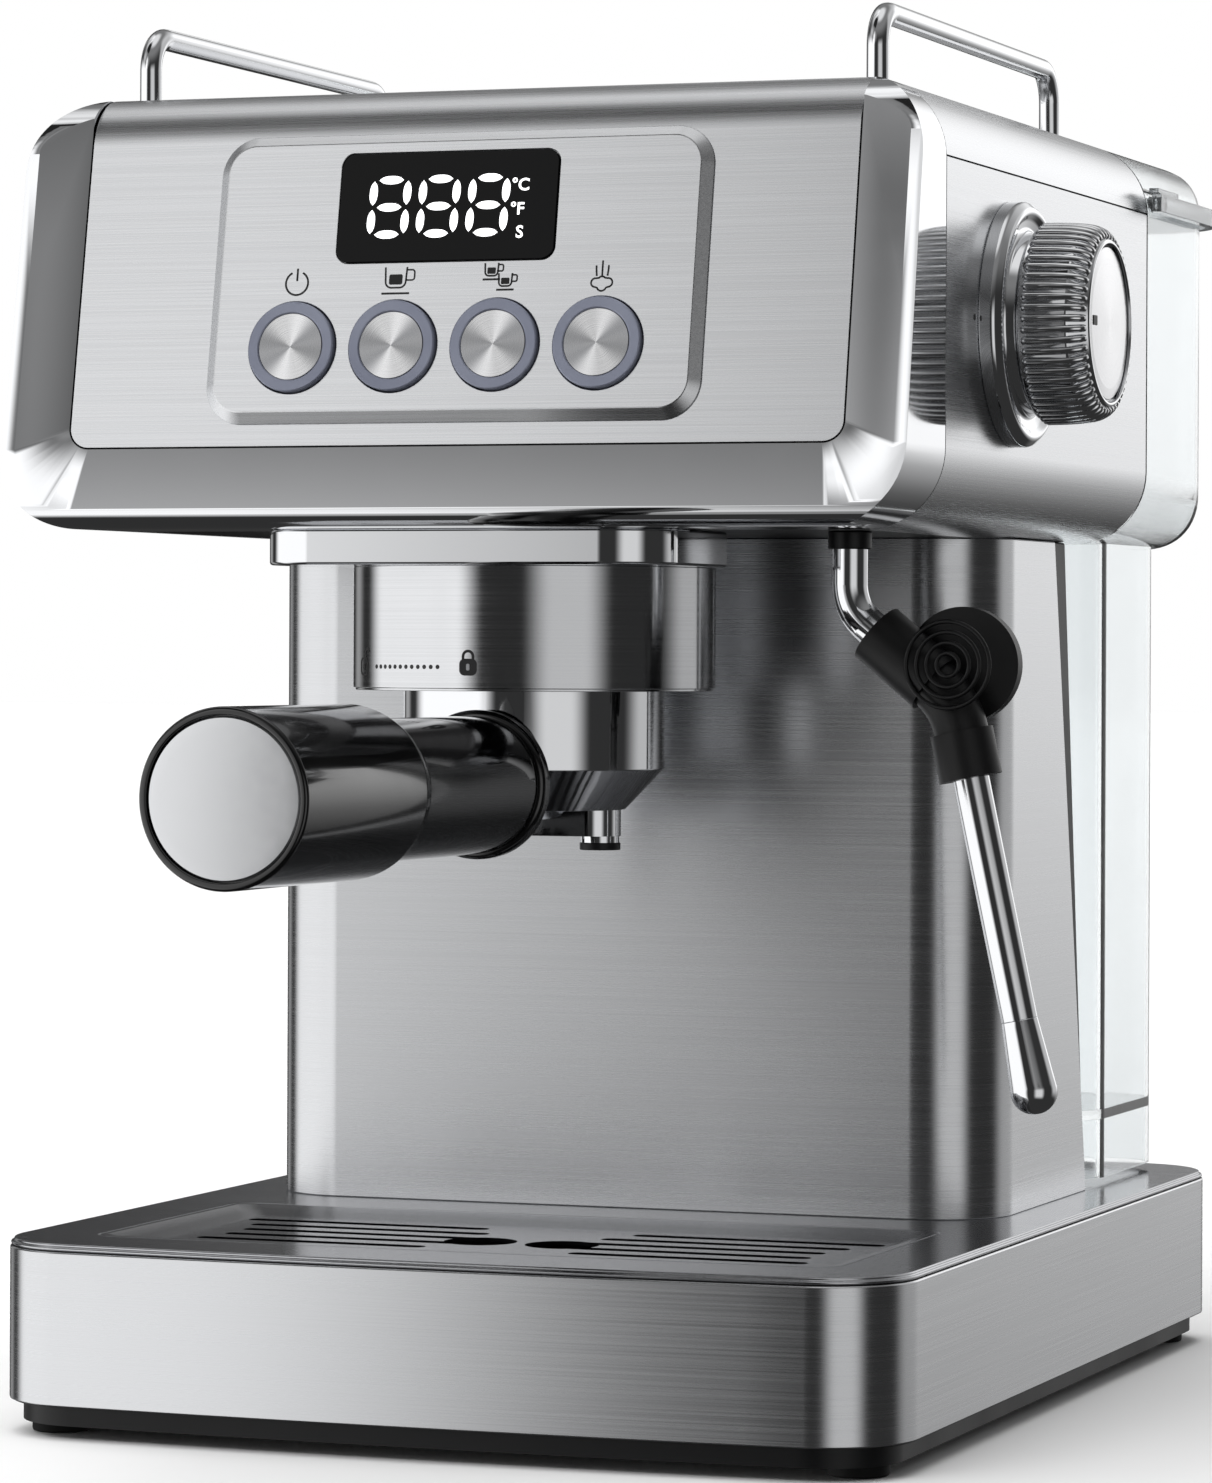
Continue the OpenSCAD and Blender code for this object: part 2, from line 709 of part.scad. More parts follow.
module screen_screw() color("#8a8b8d") at_group() {
  bar_z(4.5, collar_top - 3.6, collar_top - 1.4);
  bar_z(2, collar_top - 1.4 - eps, collar_top + 6);
}

block_h = 50;
block_y = group_y + 16;

module thermoblock() color("#a0a1a3") difference() {
  union() {
    at_group() bar_z(neck_r - 0.3, collar_top, head_z + wall + 2);
    translate([0, block_y, head_z + wall + 2])
      along_z(0, block_h) round_rect(92, -44, 44, 10);
  }
  at_group() bar_z(2.1, collar_top - 1, collar_top + 8);
}

// ---------------------------------------------------------------- filter holder

rim_z = gasket_z - 0.3;
holder_z = collar_z - holder_drop;
holder_floor = holder_z - taper_h;
handle_z = holder_z - 3.1;
stud_r = 4;

module holder_body() color("#c4c5c7") at_group() difference() {
  union() {
    bar_z(holder_r, holder_z, rim_z - 0.8);
    translate([0, 0, holder_floor]) cylinder(r1 = holder_r - 9, r2 = holder_r, h = taper_h);
    for (a = [0, 180]) ring_slice(lug_r, holder_r - 1, ledge_z + 4.3, ledge_z + 9, a + 8, a + 60);
    translate([0, 0, handle_z]) bar_y(9, -holder_r - 2.5, -18);
    translate([0, 0, handle_z]) bar_y(stud_r, -handle_reach + 14, 0);
  }
  bar_z(holder_r - 2, holder_z + 4, rim_z);
  bar_z(4, holder_floor - 1, holder_z + 5);
}

module filter_basket() color("#cfd0d3") at_group() difference() {
  union() {
    bar_z(basket_r, holder_z + 9, rim_z);
    bar_z(holder_r + 1, rim_z - 0.8, rim_z);
  }
  bar_z(basket_r - 0.7, holder_z + 9.7, rim_z + 1);
  for (k = [1:3], i = [0:6 * k - 1]) rotate(i * 60 / k) translate([6 * k, 0, 0])
    bar_z(0.5, holder_z + 8, holder_z + 11);
}

module basket_spring() color("#9d9ea0") at_group() translate([0, 0, rim_z - 9])
  rotate([0, 0, 20]) rotate_extrude(angle = 320) translate([holder_r - 2.5, 0]) circle(0.5);

module spout() color("#bfc0c2") at_group() difference() {
  union() {
    along_z(holder_floor - 6, holder_floor) round_rect(spout_pitch + 9, -6.5, 6.5, 6);
    for (s = [-1, 1]) translate([s * spout_pitch / 2, 0, 0]) bar_z(4.4, holder_floor - 7.5, holder_floor - 5);
  }
  bar_z(4, holder_floor - 4, holder_floor + 1);
  translate([0, 0, holder_floor - 3]) bar_x(1.8, -spout_pitch / 2, spout_pitch / 2);
  for (s = [-1, 1]) translate([s * spout_pitch / 2, 0, 0]) bar_z(2, holder_floor - 8, holder_floor - 3);
}

module nozzles() color("#141414") at_group() for (s = [-1, 1]) translate([s * spout_pitch / 2, 0, 0])
  ring(4.7, 2, holder_floor - 9.2, holder_floor - 7.5);

// ---------------------------------------------------------------- handle

flange_y = -holder_r - 2.5;
grip_y = -handle_reach;

// turned about the handle's axis; y runs from the group outward
module turned_handle() at_group() translate([0, 0, handle_z]) rotate([90, 0, 0]) rotate_extrude() children();

module handle_flange() color("#0d0d0e") turned_handle() translate([stud_r + 0.1, -flange_y]) difference() {
  square([16.8 - stud_r - 0.1, 5]);
  translate([16.8 - stud_r - 1.1, -1]) square([5, 1.8]);
}

module handle_grip() color("#0b0b0c") difference() {
  turned_handle() polygon(concat(
    [[stud_r + 0.1, -flange_y + 5], [neck_d / 2 - 0.8, -flange_y + 5]],
    [[neck_d / 2, -flange_y + 8], [neck_d / 2, handle_reach - grip_l - 8]],
    [for (i = [0:8]) let (t = i / 8)
      [neck_d / 2 + (handle_d - 1.2 - neck_d) / 2 * (1 - cos(180 * t)) / 2, handle_reach - grip_l - 8 + 8 * t]],
    [[handle_d / 2, handle_reach - 14]],
    arc(handle_d / 2 - 1.6, handle_reach - 1.6, 1.6, 0, 90, 4),
    [[stud_r + 0.1, handle_reach]]
  ));
  at_group() translate([0, 0, handle_z]) bar_y(cap_d / 2 + 0.1, grip_y - 1, grip_y + 2);
}

module handle_cap() color("#c9cacc") at_group() translate([0, 0, handle_z])
  bar_y(cap_d / 2, grip_y, grip_y + 2);

// ---------------------------------------------------------------- steam wand

stem_r = wand_d / 2;
nut_r = stem_r + 0.85;
grip_r = wand_d / 2 + 3;
bend_1 = 12;
bend_2 = 20;
mid_a = 50;            // lean of the run between the two bends
mid_l = 20;
bend_z = head_z - 11.8;
tab_r = 13;
lap = 0.3;
hair = 0.02;
waist = 1;

// ends of the wand's stretches, in X and Z from its swivel
p1 = [bend_1 * (1 - cos(mid_a)), bend_z - bend_1 * sin(mid_a)];
p2 = p1 + mid_l * [sin(mid_a), -cos(mid_a)];
p3 = p2 + bend_2 * [cos(wand_lean) - cos(mid_a), sin(wand_lean) - sin(mid_a)];

module at_wand() translate([wand_x, wand_y, 0]) children();

// children drawn down along -Z from point p, turned outward by a
module down(p, a) translate([p[0], 0, p[1]]) rotate([0, 180 - a, 0]) children();

// a bend in the X-Z plane about point c, from angle a0 to a1, a hair thinner than the runs that lap it
module bend(r, bend_r, c, a0, a1) translate([c[0], 0, c[1]]) rotate([90, 0, 0]) rotate([0, 0, a0])
  rotate_extrude(angle = a1 - a0) translate([bend_r, 0]) circle(r - hair);

// a straight run from point p, which laps the bends at its ends
module run_down(r, p, a, h) down(p, a) translate([0, 0, -lap]) cylinder(r = r, h = h + 2 * lap);

module second_bend(r) bend(r, bend_2, p2 - bend_2 * [cos(mid_a), sin(mid_a)], wand_lean, mid_a);

module wand_nut() color("#1a1a1a") at_wand() ring(nut_r, stem_r + run, head_z - 4, head_z);

module wand_tube() color("#cdced0") at_wand() {
  bar_z(stem_r, bend_z - lap, head_z + wall + 4);
  bar_z(nut_r + 0.6, head_z + wall + play, head_z + wall + 3);
  bend(stem_r, bend_1, [bend_1, bend_z], 180, 180 + mid_a);
  run_down(stem_r, p1, mid_a, mid_l);
  second_bend(stem_r);
  run_down(stem_r, p3, wand_lean, wand_l - 14 - lap);
}

module wand_grip() color("#17181a") at_wand() difference() {
  union() {
    run_down(grip_r, p1 + 3 * [sin(mid_a), -cos(mid_a)], mid_a, mid_l - 3);
    second_bend(grip_r - waist);
    run_down(grip_r, p3, wand_lean, 10);
    translate([25, 0, bend_z - 18]) bar_y(tab_r, stem_r + 0.4, stem_r + 4);
  }
  run_down(stem_r + run, p1, mid_a, mid_l);
  second_bend(stem_r + run);
  run_down(stem_r + run, p3, wand_lean, 20);
}

module wand_tip() color("#c2c3c5") at_wand() down(p3, wand_lean) translate([0, 0, wand_l - 14]) {
  difference() {
    union() {
      cylinder(r1 = wand_d / 2, r2 = wand_d / 2 + 1.2, h = 16);
      translate([0, 0, 16]) sphere(wand_d / 2 + 1.2);
    }
    translate([0, 0, 12]) cylinder(r = 0.8, h = 20);
  }
}

// ---------------------------------------------------------------- cup rails

module rail(s) color("#d2d3d5") translate([s * rail_x, 0, 0]) {
  r = rail_d / 2;
  z = head_top + rail_h - r;
  for (y = [rail_y0 + r, rail_y1 - r]) translate([0, y, 0]) {
    bar_z(r, head_top, z - rail_r);
    bar_z(r - 0.6, head_top - 4, head_top + eps);
  }
  translate([0, 0, z]) bar_y(r, rail_y0 + r + rail_r, rail_y1 - r - rail_r);
  translate([0, rail_y0 + r + rail_r, z - rail_r]) rotate([90, 0, 90]) rotate([0, 0, 90])
    rotate_extrude(angle = 90) translate([rail_r, 0]) circle(r);
  translate([0, rail_y1 - r - rail_r, z - rail_r]) rotate([90, 0, 90])
    rotate_extrude(angle = 90) translate([rail_r, 0]) circle(r);
}

module rail_left() rail(-1);
module rail_right() rail(1);

// ---------------------------------------------------------------- water tank

tank_z = deck_top + tank_gap;
rim = head_top - lid_h;
tank_low_y = back_y1 + back_foot + 1.5;
bail_y = tank_y + 5;
bail_z = rim - bail_h / 2 - 0.4;
pin_r = 2;

module tank_upper(inset, z1) intersection() {
  along_y(tank_y + inset, tank_back - inset) head_outline(inset);
  along_z(head_z - 5, z1)
    round_back(head_w - 2 * inset, tank_y + inset - 1, tank_back - inset, head_r - inset);
}

module tank_lower(inset, z0) along_z(z0, head_z + head_r) round_rect(
  tank_w - 2 * inset, tank_low_y + inset, tank_back - inset, 12 - inset
);

module tank() color("#dfe6ea", 0.35) difference() {
  union() {
    tank_upper(0, rim);
    tank_lower(0, tank_z);
  }
  tank_upper(wall, rim + 1);
  tank_lower(wall, tank_z + tank_floor);
  along_z(tank_z - 1, tank_z + tank_floor - wall)
    round_rect(tank_w - 2 * wall, tank_low_y + wall, tank_back - wall, 12 - wall);
  translate([0, seat_y, 0]) bar_z(9, tank_z, tank_z + tank_floor + 1);
  for (s = [-1, 1]) translate([s * side_x, bail_y, bail_z]) bar_x(pin_r + run, -4, 4);
}

module lid_body(inset, z0) intersection() {
  along_y(tank_y + inset, tank_back - inset) head_outline(inset);
  along_z(z0, head_top)
    round_back(head_w - 2 * inset, tank_y + inset - 1, tank_back - inset, head_r - inset);
  along_x(-side_x, side_x) polygon(concat(
    [[tank_y + inset, z0], [tank_back - inset, z0]],
    arc(tank_back - lid_h + 2, head_top - lid_h + 2, lid_h - 2 - inset, 0, 90, 8),
    [[tank_y + inset, head_top - inset]]
  ));
}

module tank_lid() color("#8f9294", 0.6) difference() {
  lid_body(0, rim + seam);
  lid_body(wall - 0.4, rim - 1);
}

module tank_bail() color("#6f7375", 0.8) {
  x = side_x + 1.4;
  back = tank_back + 1.4;
  difference() {
    along_z(bail_z - bail_h / 2, bail_z + bail_h / 2) difference() {
      round_back(2 * (x + bail_t), bail_y - 6, back + bail_t, head_r + 3);
      round_back(2 * x, bail_y - 7, back, head_r + 1);
    }
  }
  for (s = [-1, 1]) {
    translate([s * side_x, bail_y, bail_z]) bar_x(pin_r, s > 0 ? -2.2 : -1.4 - eps, s > 0 ? 1.4 + eps : 2.2);
    translate([s * (x + bail_t / 2), bail_y, bail_z]) translate([-bail_t / 2, -9, bail_h / 2]) cube([bail_t, 20, 1.2]);
  }
}

valve_r = 6;
seat_r = 11;

module tank_valve() color("#1c1c1e") translate([0, seat_y, 0]) difference() {
  union() {
    bar_z(9 - slip, tank_z + tank_floor - wall - 2, tank_z + tank_floor + 2);
    bar_z(12, tank_z + tank_floor, tank_z + tank_floor + 2);
    bar_z(valve_r, tank_z + 2, tank_z + tank_floor - wall - 1);
  }
  bar_z(2, tank_z, tank_z + tank_floor + 4);
}

module valve_seat() color("#222224") translate([0, seat_y, 0]) difference() {
  union() {
    bar_z(seat_r - slip, deck_z - 6, deck_top);
    bar_z(9, deck_top - eps, tank_z + tank_floor - wall - 3);
    bar_z(seat_r + 3, deck_z - 8, deck_z);
  }
  bar_z(valve_r + play, tank_z + 1, tank_z + tank_floor);
  bar_z(3, deck_z - 9, tank_z + 2);
}

// ---------------------------------------------------------------- inside the column and head

pump_x = -24;
pump_y = column_y + 32;
pump_z = deck_top + 46;
pump_h = 84;
board_x = 48;

module pump() color("#3f4a56") translate([pump_x, pump_y, 0]) {
  bar_z(20, pump_z + 14, pump_z + pump_h - 14);
  bar_z(8, pump_z, pump_z + 15);
  bar_z(8, pump_z + pump_h - 15, pump_z + pump_h);
}

module pump_mounts() color("#1a1a1a") translate([pump_x, pump_y, 0])
  for (z = [pump_z + 3, pump_z + pump_h - 9]) difference() {
    translate([-16, column_y + sheet_t - pump_y, z]) cube([32, 40, 6]);
    bar_z(8, z - 1, z + 7);
  }

hose_r = 3.5;
elbow_t = 1.2;

// a hose through a list of points, as straight runs between elbow fittings
module hose(p, r) {
  for (i = [0:len(p) - 2]) {
    d = p[i + 1] - p[i];
    translate(p[i]) rotate([0, acos(d[2] / norm(d)), atan2(d[1], d[0])]) cylinder(r = r, h = norm(d));
  }
  for (i = [1:len(p) - 2]) translate(p[i]) cylinder(r = r + elbow_t, h = 2 * (r + elbow_t), center = true);
}

module hoses() color("#c8c2b4") {
  low = deck_z - 16;
  top = head_z + wall + 24;
  hose([
    [0, seat_y, deck_z - 8], [0, seat_y, low], [pump_x, pump_y, low], [pump_x, pump_y, pump_z]
  ], hose_r);
  hose([
    [pump_x, pump_y, pump_z + pump_h], [pump_x, pump_y, top], [pump_x, block_y + 44, top]
  ], 2.5);
  hose([
    [46, bezel_y + knob_y, head_z + knob_z], [valve_x, bezel_y + knob_y, head_z + knob_z]
  ], 2.5);
  hose([
    [valve_x + 11, bezel_y + knob_y, head_z + knob_z - 22], [wand_x, wand_y, head_z + wall + 12],
    [wand_x, wand_y, head_z + wall + 4 + play]
  ], 2.5);
}

module power_board() color("#8a6a2f") translate([board_x, column_y + sheet_t, deck_top + 60]) {
  cube([1.6, 44, 80]);
  translate([1.6, 6, 8]) cube([18, 28, 22]);
  translate([1.6, 8, 42]) cube([12, 12, 26]);
  translate([1.6, 26, 44]) cube([14, 14, 14]);
}

placed() base_pan();
placed() base_skirt();
placed() deck_plate();
placed() feet();
placed() base_screws();
placed() drip_tray();
placed() drip_grille();
placed() column_shell();
placed() column_back();
placed() cord_gland();
placed() head_shell();
placed() head_frame();
placed() top_cover();
placed() front_bezel();
placed() front_panel();
placed() control_frame();
placed() display_window();
placed() display_board();
placed() power_button();
placed() power_disc();
placed() single_button();
placed() single_disc();
placed() double_button();
placed() double_disc();
placed() steam_button();
placed() steam_disc();
placed() dial_plate();
placed() knob_body();
placed() knob_face();
placed() knob_shaft();
placed() steam_valve();
placed() mount_plate();
placed() group_collar();
placed() group_gasket();
placed() shower_screen();
placed() screen_screw();
placed() thermoblock();
placed() holder_body();
placed() filter_basket();
placed() basket_spring();
placed() spout();
placed() nozzles();
placed() handle_flange();
placed() handle_grip();
placed() handle_cap();
placed() wand_nut();
placed() wand_tube();
placed() wand_grip();
placed() wand_tip();
placed() rail_left();
placed() rail_right();
placed() tank();
placed() tank_lid();
placed() tank_bail();
placed() tank_valve();
placed() valve_seat();
placed() pump();
placed() pump_mounts();
placed() hoses();
placed() power_board();
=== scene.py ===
import json
import math

import bmesh
import bpy
from mathutils import Matrix, Vector


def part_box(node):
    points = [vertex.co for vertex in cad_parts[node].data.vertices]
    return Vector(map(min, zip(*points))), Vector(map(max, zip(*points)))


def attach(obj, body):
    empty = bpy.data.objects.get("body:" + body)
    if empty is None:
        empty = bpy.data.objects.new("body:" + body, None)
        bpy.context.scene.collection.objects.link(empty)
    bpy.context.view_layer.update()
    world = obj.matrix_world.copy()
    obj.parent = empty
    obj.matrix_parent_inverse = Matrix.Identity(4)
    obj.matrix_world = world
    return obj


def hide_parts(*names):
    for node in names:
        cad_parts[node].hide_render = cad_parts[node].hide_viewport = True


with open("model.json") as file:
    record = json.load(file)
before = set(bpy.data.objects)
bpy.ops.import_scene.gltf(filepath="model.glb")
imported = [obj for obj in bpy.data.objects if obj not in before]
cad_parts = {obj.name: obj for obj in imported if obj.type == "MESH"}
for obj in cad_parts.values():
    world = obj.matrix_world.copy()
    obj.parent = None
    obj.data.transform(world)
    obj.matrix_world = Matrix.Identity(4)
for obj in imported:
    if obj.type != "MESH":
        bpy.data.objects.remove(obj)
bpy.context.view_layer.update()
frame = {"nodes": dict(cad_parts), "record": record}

mm = 0.001
nodes = frame["nodes"]
bodyOf = {n: b for b, group in frame["record"]["behaviour"]["bodies"].items() for n in group}


def toLinear(hexText):  # an sRGB hex colour as linear RGBA
    parts = [int(hexText[i:i + 2], 16) / 255 for i in (1, 3, 5)]
    return tuple(c / 12.92 if c <= 0.04045 else ((c + 0.055) / 1.055) ** 2.4 for c in parts) + (1.0,)


def addNode(tree, kind, inputs=None, **settings):  # a node with its settings; sockets are linked, values set
    node = tree.nodes.new(kind)
    for name, value in settings.items():
        setattr(node, name, value)
    for name, value in (inputs or {}).items():
        socket = node.inputs[name]
        if isinstance(value, bpy.types.NodeSocket):
            tree.links.new(value, socket)
        else:
            socket.default_value = value
    return node


def newMaterial(name, colour, rough, metal=0.0, **extra):  # a Principled material, its tree and its shader
    made = bpy.data.materials.new(name)
    made.use_nodes = True
    tree = made.node_tree
    shader = tree.nodes["Principled BSDF"]
    shader.inputs["Base Color"].default_value = toLinear(colour)
    shader.inputs["Roughness"].default_value = rough
    shader.inputs["Metallic"].default_value = metal
    for key, value in extra.items():
        shader.inputs[key.replace("_", " ")].default_value = value
    return made, tree, shader


def objectNoise(tree, scale, detail=2.0):  # noise in the piece's own metres, with scale cells a metre
    place = addNode(tree, "ShaderNodeTexCoord")
    stretch = addNode(tree, "ShaderNodeMapping", {"Vector": place.outputs["Object"], "Scale": scale})
    noise = addNode(tree, "ShaderNodeTexNoise",
                    {"Vector": stretch.outputs[0], "Scale": 1.0, "Detail": detail})
    return noise.outputs["Fac"]


def spread(tree, value, low, high):  # a noise value spread over low to high
    return addNode(tree, "ShaderNodeMapRange", {"Value": value, "From Min": 0.3, "From Max": 0.7,
                                                "To Min": low, "To Max": high}).outputs[0]


def maths(tree, kind, a, b=0.0, c=0.0):  # one maths step
    return addNode(tree, "ShaderNodeMath", {0: a, 1: b, 2: c}, operation=kind).outputs[0]


def tint(tree, value, dark, light):  # two near shades mixed by a value
    mix = addNode(tree, "ShaderNodeMix", {"Factor": value}, data_type="RGBA")
    mix.inputs[6].default_value = toLinear(dark)
    mix.inputs[7].default_value = toLinear(light)
    return mix.outputs[2]


def setBump(tree, shader, value, height, strength=1.0):  # surface relief of a real height in metres
    bump = addNode(tree, "ShaderNodeBump", {"Height": value, "Distance": height, "Strength": strength})
    tree.links.new(bump.outputs[0], shader.inputs["Normal"])


grooveRuns = {  # noise scale along x, y, z in 1/m: fine across the brushing, slow along it
    "x": (9, 3200, 3200),
    "y": (3200, 9, 3200),
    "level": (9, 9, 3200),
}
grooveAxis = {"x": (1, 0, 0), "y": (0, 1, 0)}


def brushedSteel(name, run, dark="#cbccce", light="#d3d4d6", rough=0.25, stretch=0.7):
    # stainless sheet brushed with a 180-grit belt: long level hairlines and highlights drawn out across them.
    # real hairlines are about 0.1 mm apart; they are drawn at 0.3 mm so that they show
    made, tree, shader = newMaterial(name, light, rough, 1.0, Anisotropic=stretch)
    lines = objectNoise(tree, grooveRuns[run], 3.0)
    tree.links.new(tint(tree, spread(tree, lines, 0, 1), dark, light), shader.inputs["Base Color"])
    tree.links.new(spread(tree, lines, rough - 0.03, rough + 0.04), shader.inputs["Roughness"])
    if run == "level":
        across = addNode(tree, "ShaderNodeCombineXYZ", {"Z": 1.0}).outputs[0]
    else:
        normal = addNode(tree, "ShaderNodeNewGeometry").outputs["Normal"]
        across = addNode(tree, "ShaderNodeVectorMath", {0: normal, 1: grooveAxis[run]},
                         operation="CROSS_PRODUCT").outputs[0]
    tree.links.new(across, shader.inputs["Tangent"])
    setBump(tree, shader, lines, 0.003 * mm, 0.12)
    return made


# light and dark sectors painted on a disc, standing in for the spokes of light that fine turning gives
spokeTone = {  # for each set of sectors its number, turn in radians and share of the shade
    "sectors": 2.0, "sectorTurn": -3.7, "sectorShare": 0.4,
    "fineSectors": 6.0, "fineTurn": -1.0, "fineShare": 0.12,
    "ringShare": 0.12, "ringsPerMetre": 4000.0,
}


def spunMetal(name, centre, dark, light, rough, stretch, spokes=0.0):
    # a disc faced on a lathe: fine rings, drawn at 0.25 mm, that stretch its highlights out from the centre
    made, tree, shader = newMaterial(name, light, rough, 1.0, Anisotropic=stretch)
    place = addNode(tree, "ShaderNodeTexCoord").outputs["Object"]
    arm = addNode(tree, "ShaderNodeVectorMath", {0: place, 1: tuple(centre)}, operation="SUBTRACT").outputs[0]
    tree.links.new(arm, shader.inputs["Tangent"])
    reach = addNode(tree, "ShaderNodeVectorMath", {0: arm}, operation="LENGTH").outputs["Value"]
    fineReach = maths(tree, "MULTIPLY", reach, spokeTone["ringsPerMetre"])
    rings = addNode(tree, "ShaderNodeTexNoise", {"W": fineReach, "Scale": 1.0, "Detail": 2.0},
                    noise_dimensions="1D").outputs["Fac"]
    shade = spread(tree, rings, 0, 1)
    if spokes:  # the painted sectors, as strong as spokes says
        part = addNode(tree, "ShaderNodeSeparateXYZ", {0: arm}).outputs
        turn = maths(tree, "ARCTAN2", part[2], part[0])
        broad = maths(tree, "MULTIPLY_ADD", turn, spokeTone["sectors"], spokeTone["sectorTurn"])
        fine = maths(tree, "MULTIPLY_ADD", turn, spokeTone["fineSectors"], spokeTone["fineTurn"])
        wave = maths(tree, "MULTIPLY_ADD", maths(tree, "COSINE", broad), spokeTone["sectorShare"], 0.5)
        wave = maths(tree, "MULTIPLY_ADD", maths(tree, "COSINE", fine), spokeTone["fineShare"], wave)
        shade = maths(tree, "MULTIPLY_ADD", shade, spokeTone["ringShare"], maths(tree, "MULTIPLY", wave, spokes))
    tree.links.new(tint(tree, shade, dark, light), shader.inputs["Base Color"])
    tree.links.new(spread(tree, rings, rough - 0.03, rough + 0.04), shader.inputs["Roughness"])
    return made


def plainMetal(name, colour, rough, scale=60, change=0.03, shade=None):
    # plated or polished metal: nearly even, with faint cloudy wear in its gloss
    made, tree, shader = newMaterial(name, colour, rough, 1.0)
    cloud = objectNoise(tree, (scale, scale, scale), 4.0)
    tree.links.new(spread(tree, cloud, max(0.02, rough - change), rough + change), shader.inputs["Roughness"])
    mixed = tint(tree, spread(tree, cloud, 0, 1), shade or colour, colour)
    tree.links.new(mixed, shader.inputs["Base Color"])
    return made


def castMetal(name, dark, light, rough):
    # sand or die cast metal left as it comes: grainy, dull and a little uneven in tone
    made, tree, shader = newMaterial(name, light, rough, 1.0)
    grain = objectNoise(tree, (900, 900, 900), 5.0)
    tree.links.new(tint(tree, spread(tree, grain, 0, 1), dark, light), shader.inputs["Base Color"])
    setBump(tree, shader, grain, 0.06 * mm, 0.6)
    return made


def mouldedPlastic(name, dark, light, rough, grain=0.02, pitch=0.35, **extra):
    # injection-moulded ABS or rubber: a fine even tool grain and soft highlights; grain and pitch are its
    # depth and width in mm
    made, tree, shader = newMaterial(name, light, rough, 0.0, **extra)
    step = 1 / (pitch * mm)
    skin = objectNoise(tree, (step, step, step), 2.0)
    cloud = objectNoise(tree, (35, 35, 35), 3.0)
    tree.links.new(tint(tree, spread(tree, cloud, 0, 1), dark, light), shader.inputs["Base Color"])
    tree.links.new(spread(tree, cloud, max(0.03, rough - 0.04), rough + 0.04), shader.inputs["Roughness"])
    setBump(tree, shader, skin, grain * mm, 0.5)
    return made


def clearPlastic(name, colour, rough, see, ior=1.5):
    # moulded SAN: clear walls whose edges gather a little grey, with a faint flow in their gloss
    made, tree, shader = newMaterial(name, colour, rough, 0.0, Transmission_Weight=see, IOR=ior)
    flow = objectNoise(tree, (25, 25, 60), 2.0)
    tree.links.new(spread(tree, flow, rough, rough + 0.04), shader.inputs["Roughness"])
    return made


# stainless sheet, belt brushed: satin grey with hairlines along one way. It is one metal, but each way that the
# sheet lies has a shade of its own, chosen one by one
# painted light and shade: the colours of these four sheet steels are lit and shaded copies of one steel, one for
# each way the sheet meets the light
steelUpright = brushedSteel("brushedSteelLevel", "level")
steelAlongX = brushedSteel("brushedSteelAcross", "x", "#d2d3d5", "#dadbdd", 0.27)
steelAlongY = brushedSteel("brushedSteelAlong", "y", "#d0d1d3", "#d8d9db", 0.26)
shadedDeckSteel = brushedSteel("paintedShadeDeckSteel", "x", "#b6b7ba", "#bfc0c3", 0.22)  # painted shade: made darker for a low angle
turnedSteel = brushedSteel("turnedPolishedSteel", "level", "#c9cacc", "#d2d3d5", 0.15, 0.8)
# plated, polished and turned metal: from mirror bright to a soft grey gleam
chrome = plainMetal("polishedChrome", "#e2e3e5", 0.06)
steelDull = plainMetal("zincPlatedSteel", "#a8a9ab", 0.35, 400, 0.08, "#8e8f92")
capSteel = plainMetal("satinPolishedCap", "#d9dadc", 0.24, 200, 0.03, "#d2d3d5")
brass = plainMetal("turnedBrass", "#c9a35a", 0.28, 300, 0.06, "#a9853f")
# cast metal: dull and grainy, with no clear reflection
castAluminium = castMetal("dieCastAluminium", "#8c8e91", "#b0b2b5", 0.5)
# painted shade: the slots' sheared walls, bare steel in truth, are drawn nearly black so that thin slots read as
# open
slotShadeMetal = castMetal("paintedSlotShade", "#131315", "#1e1e20", 0.6)
# moulded ABS: matt black outside, gloss black on the handle, metallic paint on the rings
blackPlastic = mouldedPlastic("mouldedBlackAbs", "#08080a", "#0f0f11", 0.4, Specular_IOR_Level=0.3)
glossPlastic = mouldedPlastic("glossBlackAbs", "#020203", "#050505", 0.1, 0.001, 0.8, Coat_Weight=0.5)
trayPlastic = mouldedPlastic("mouldedTrayAbs", "#141416", "#1d1d1f", 0.4)
ringPlastic = mouldedPlastic("paintedRingAbs", "#6c7080", "#888c9b", 0.3, 0.01, Metallic=0.5)
# rubbers: soft wide highlights, hardly any gleam
rubber = mouldedPlastic("mouldedRubber", "#090909", "#111111", 0.7, 0.03, 0.3, Specular_IOR_Level=0.25)
silicone = mouldedPlastic("mattSilicone", "#060607", "#0c0c0d", 0.42, 0.02, 0.25, Specular_IOR_Level=0.4)
siliconeHose = mouldedPlastic("clearSiliconeHose", "#b9b4a8", "#cfcabd", 0.4, 0.01)
gasketRubber = mouldedPlastic("gasketRubber", "#1d1512", "#2b1f1a", 0.6, 0.02)
# printed, painted and etched faces: even colour under a thin film
printInk = mouldedPlastic("padPrintedInk", "#070708", "#0d0d0e", 0.45, 0.005)
boardGreen = mouldedPlastic("etchedCircuitBoard", "#14452a", "#1f6a41", 0.45, 0.02, 0.8)
pumpPaint = mouldedPlastic("paintedPumpSteel", "#34404c", "#485664", 0.4, 0.02)
glassBlack = mouldedPlastic("blackPrintedGlass", "#010101", "#030304", 0.08, 0.001, 1.5,
                            Specular_IOR_Level=0.12)
# moulded SAN: the tank is clear, its bail a little smoky
clearTank = clearPlastic("clearMouldedSan", "#f4f7f8", 0.03, 1.0)
smokyBail = clearPlastic("smokyMouldedSan", "#b9bcbe", 0.06, 0.85)
print("materials made")


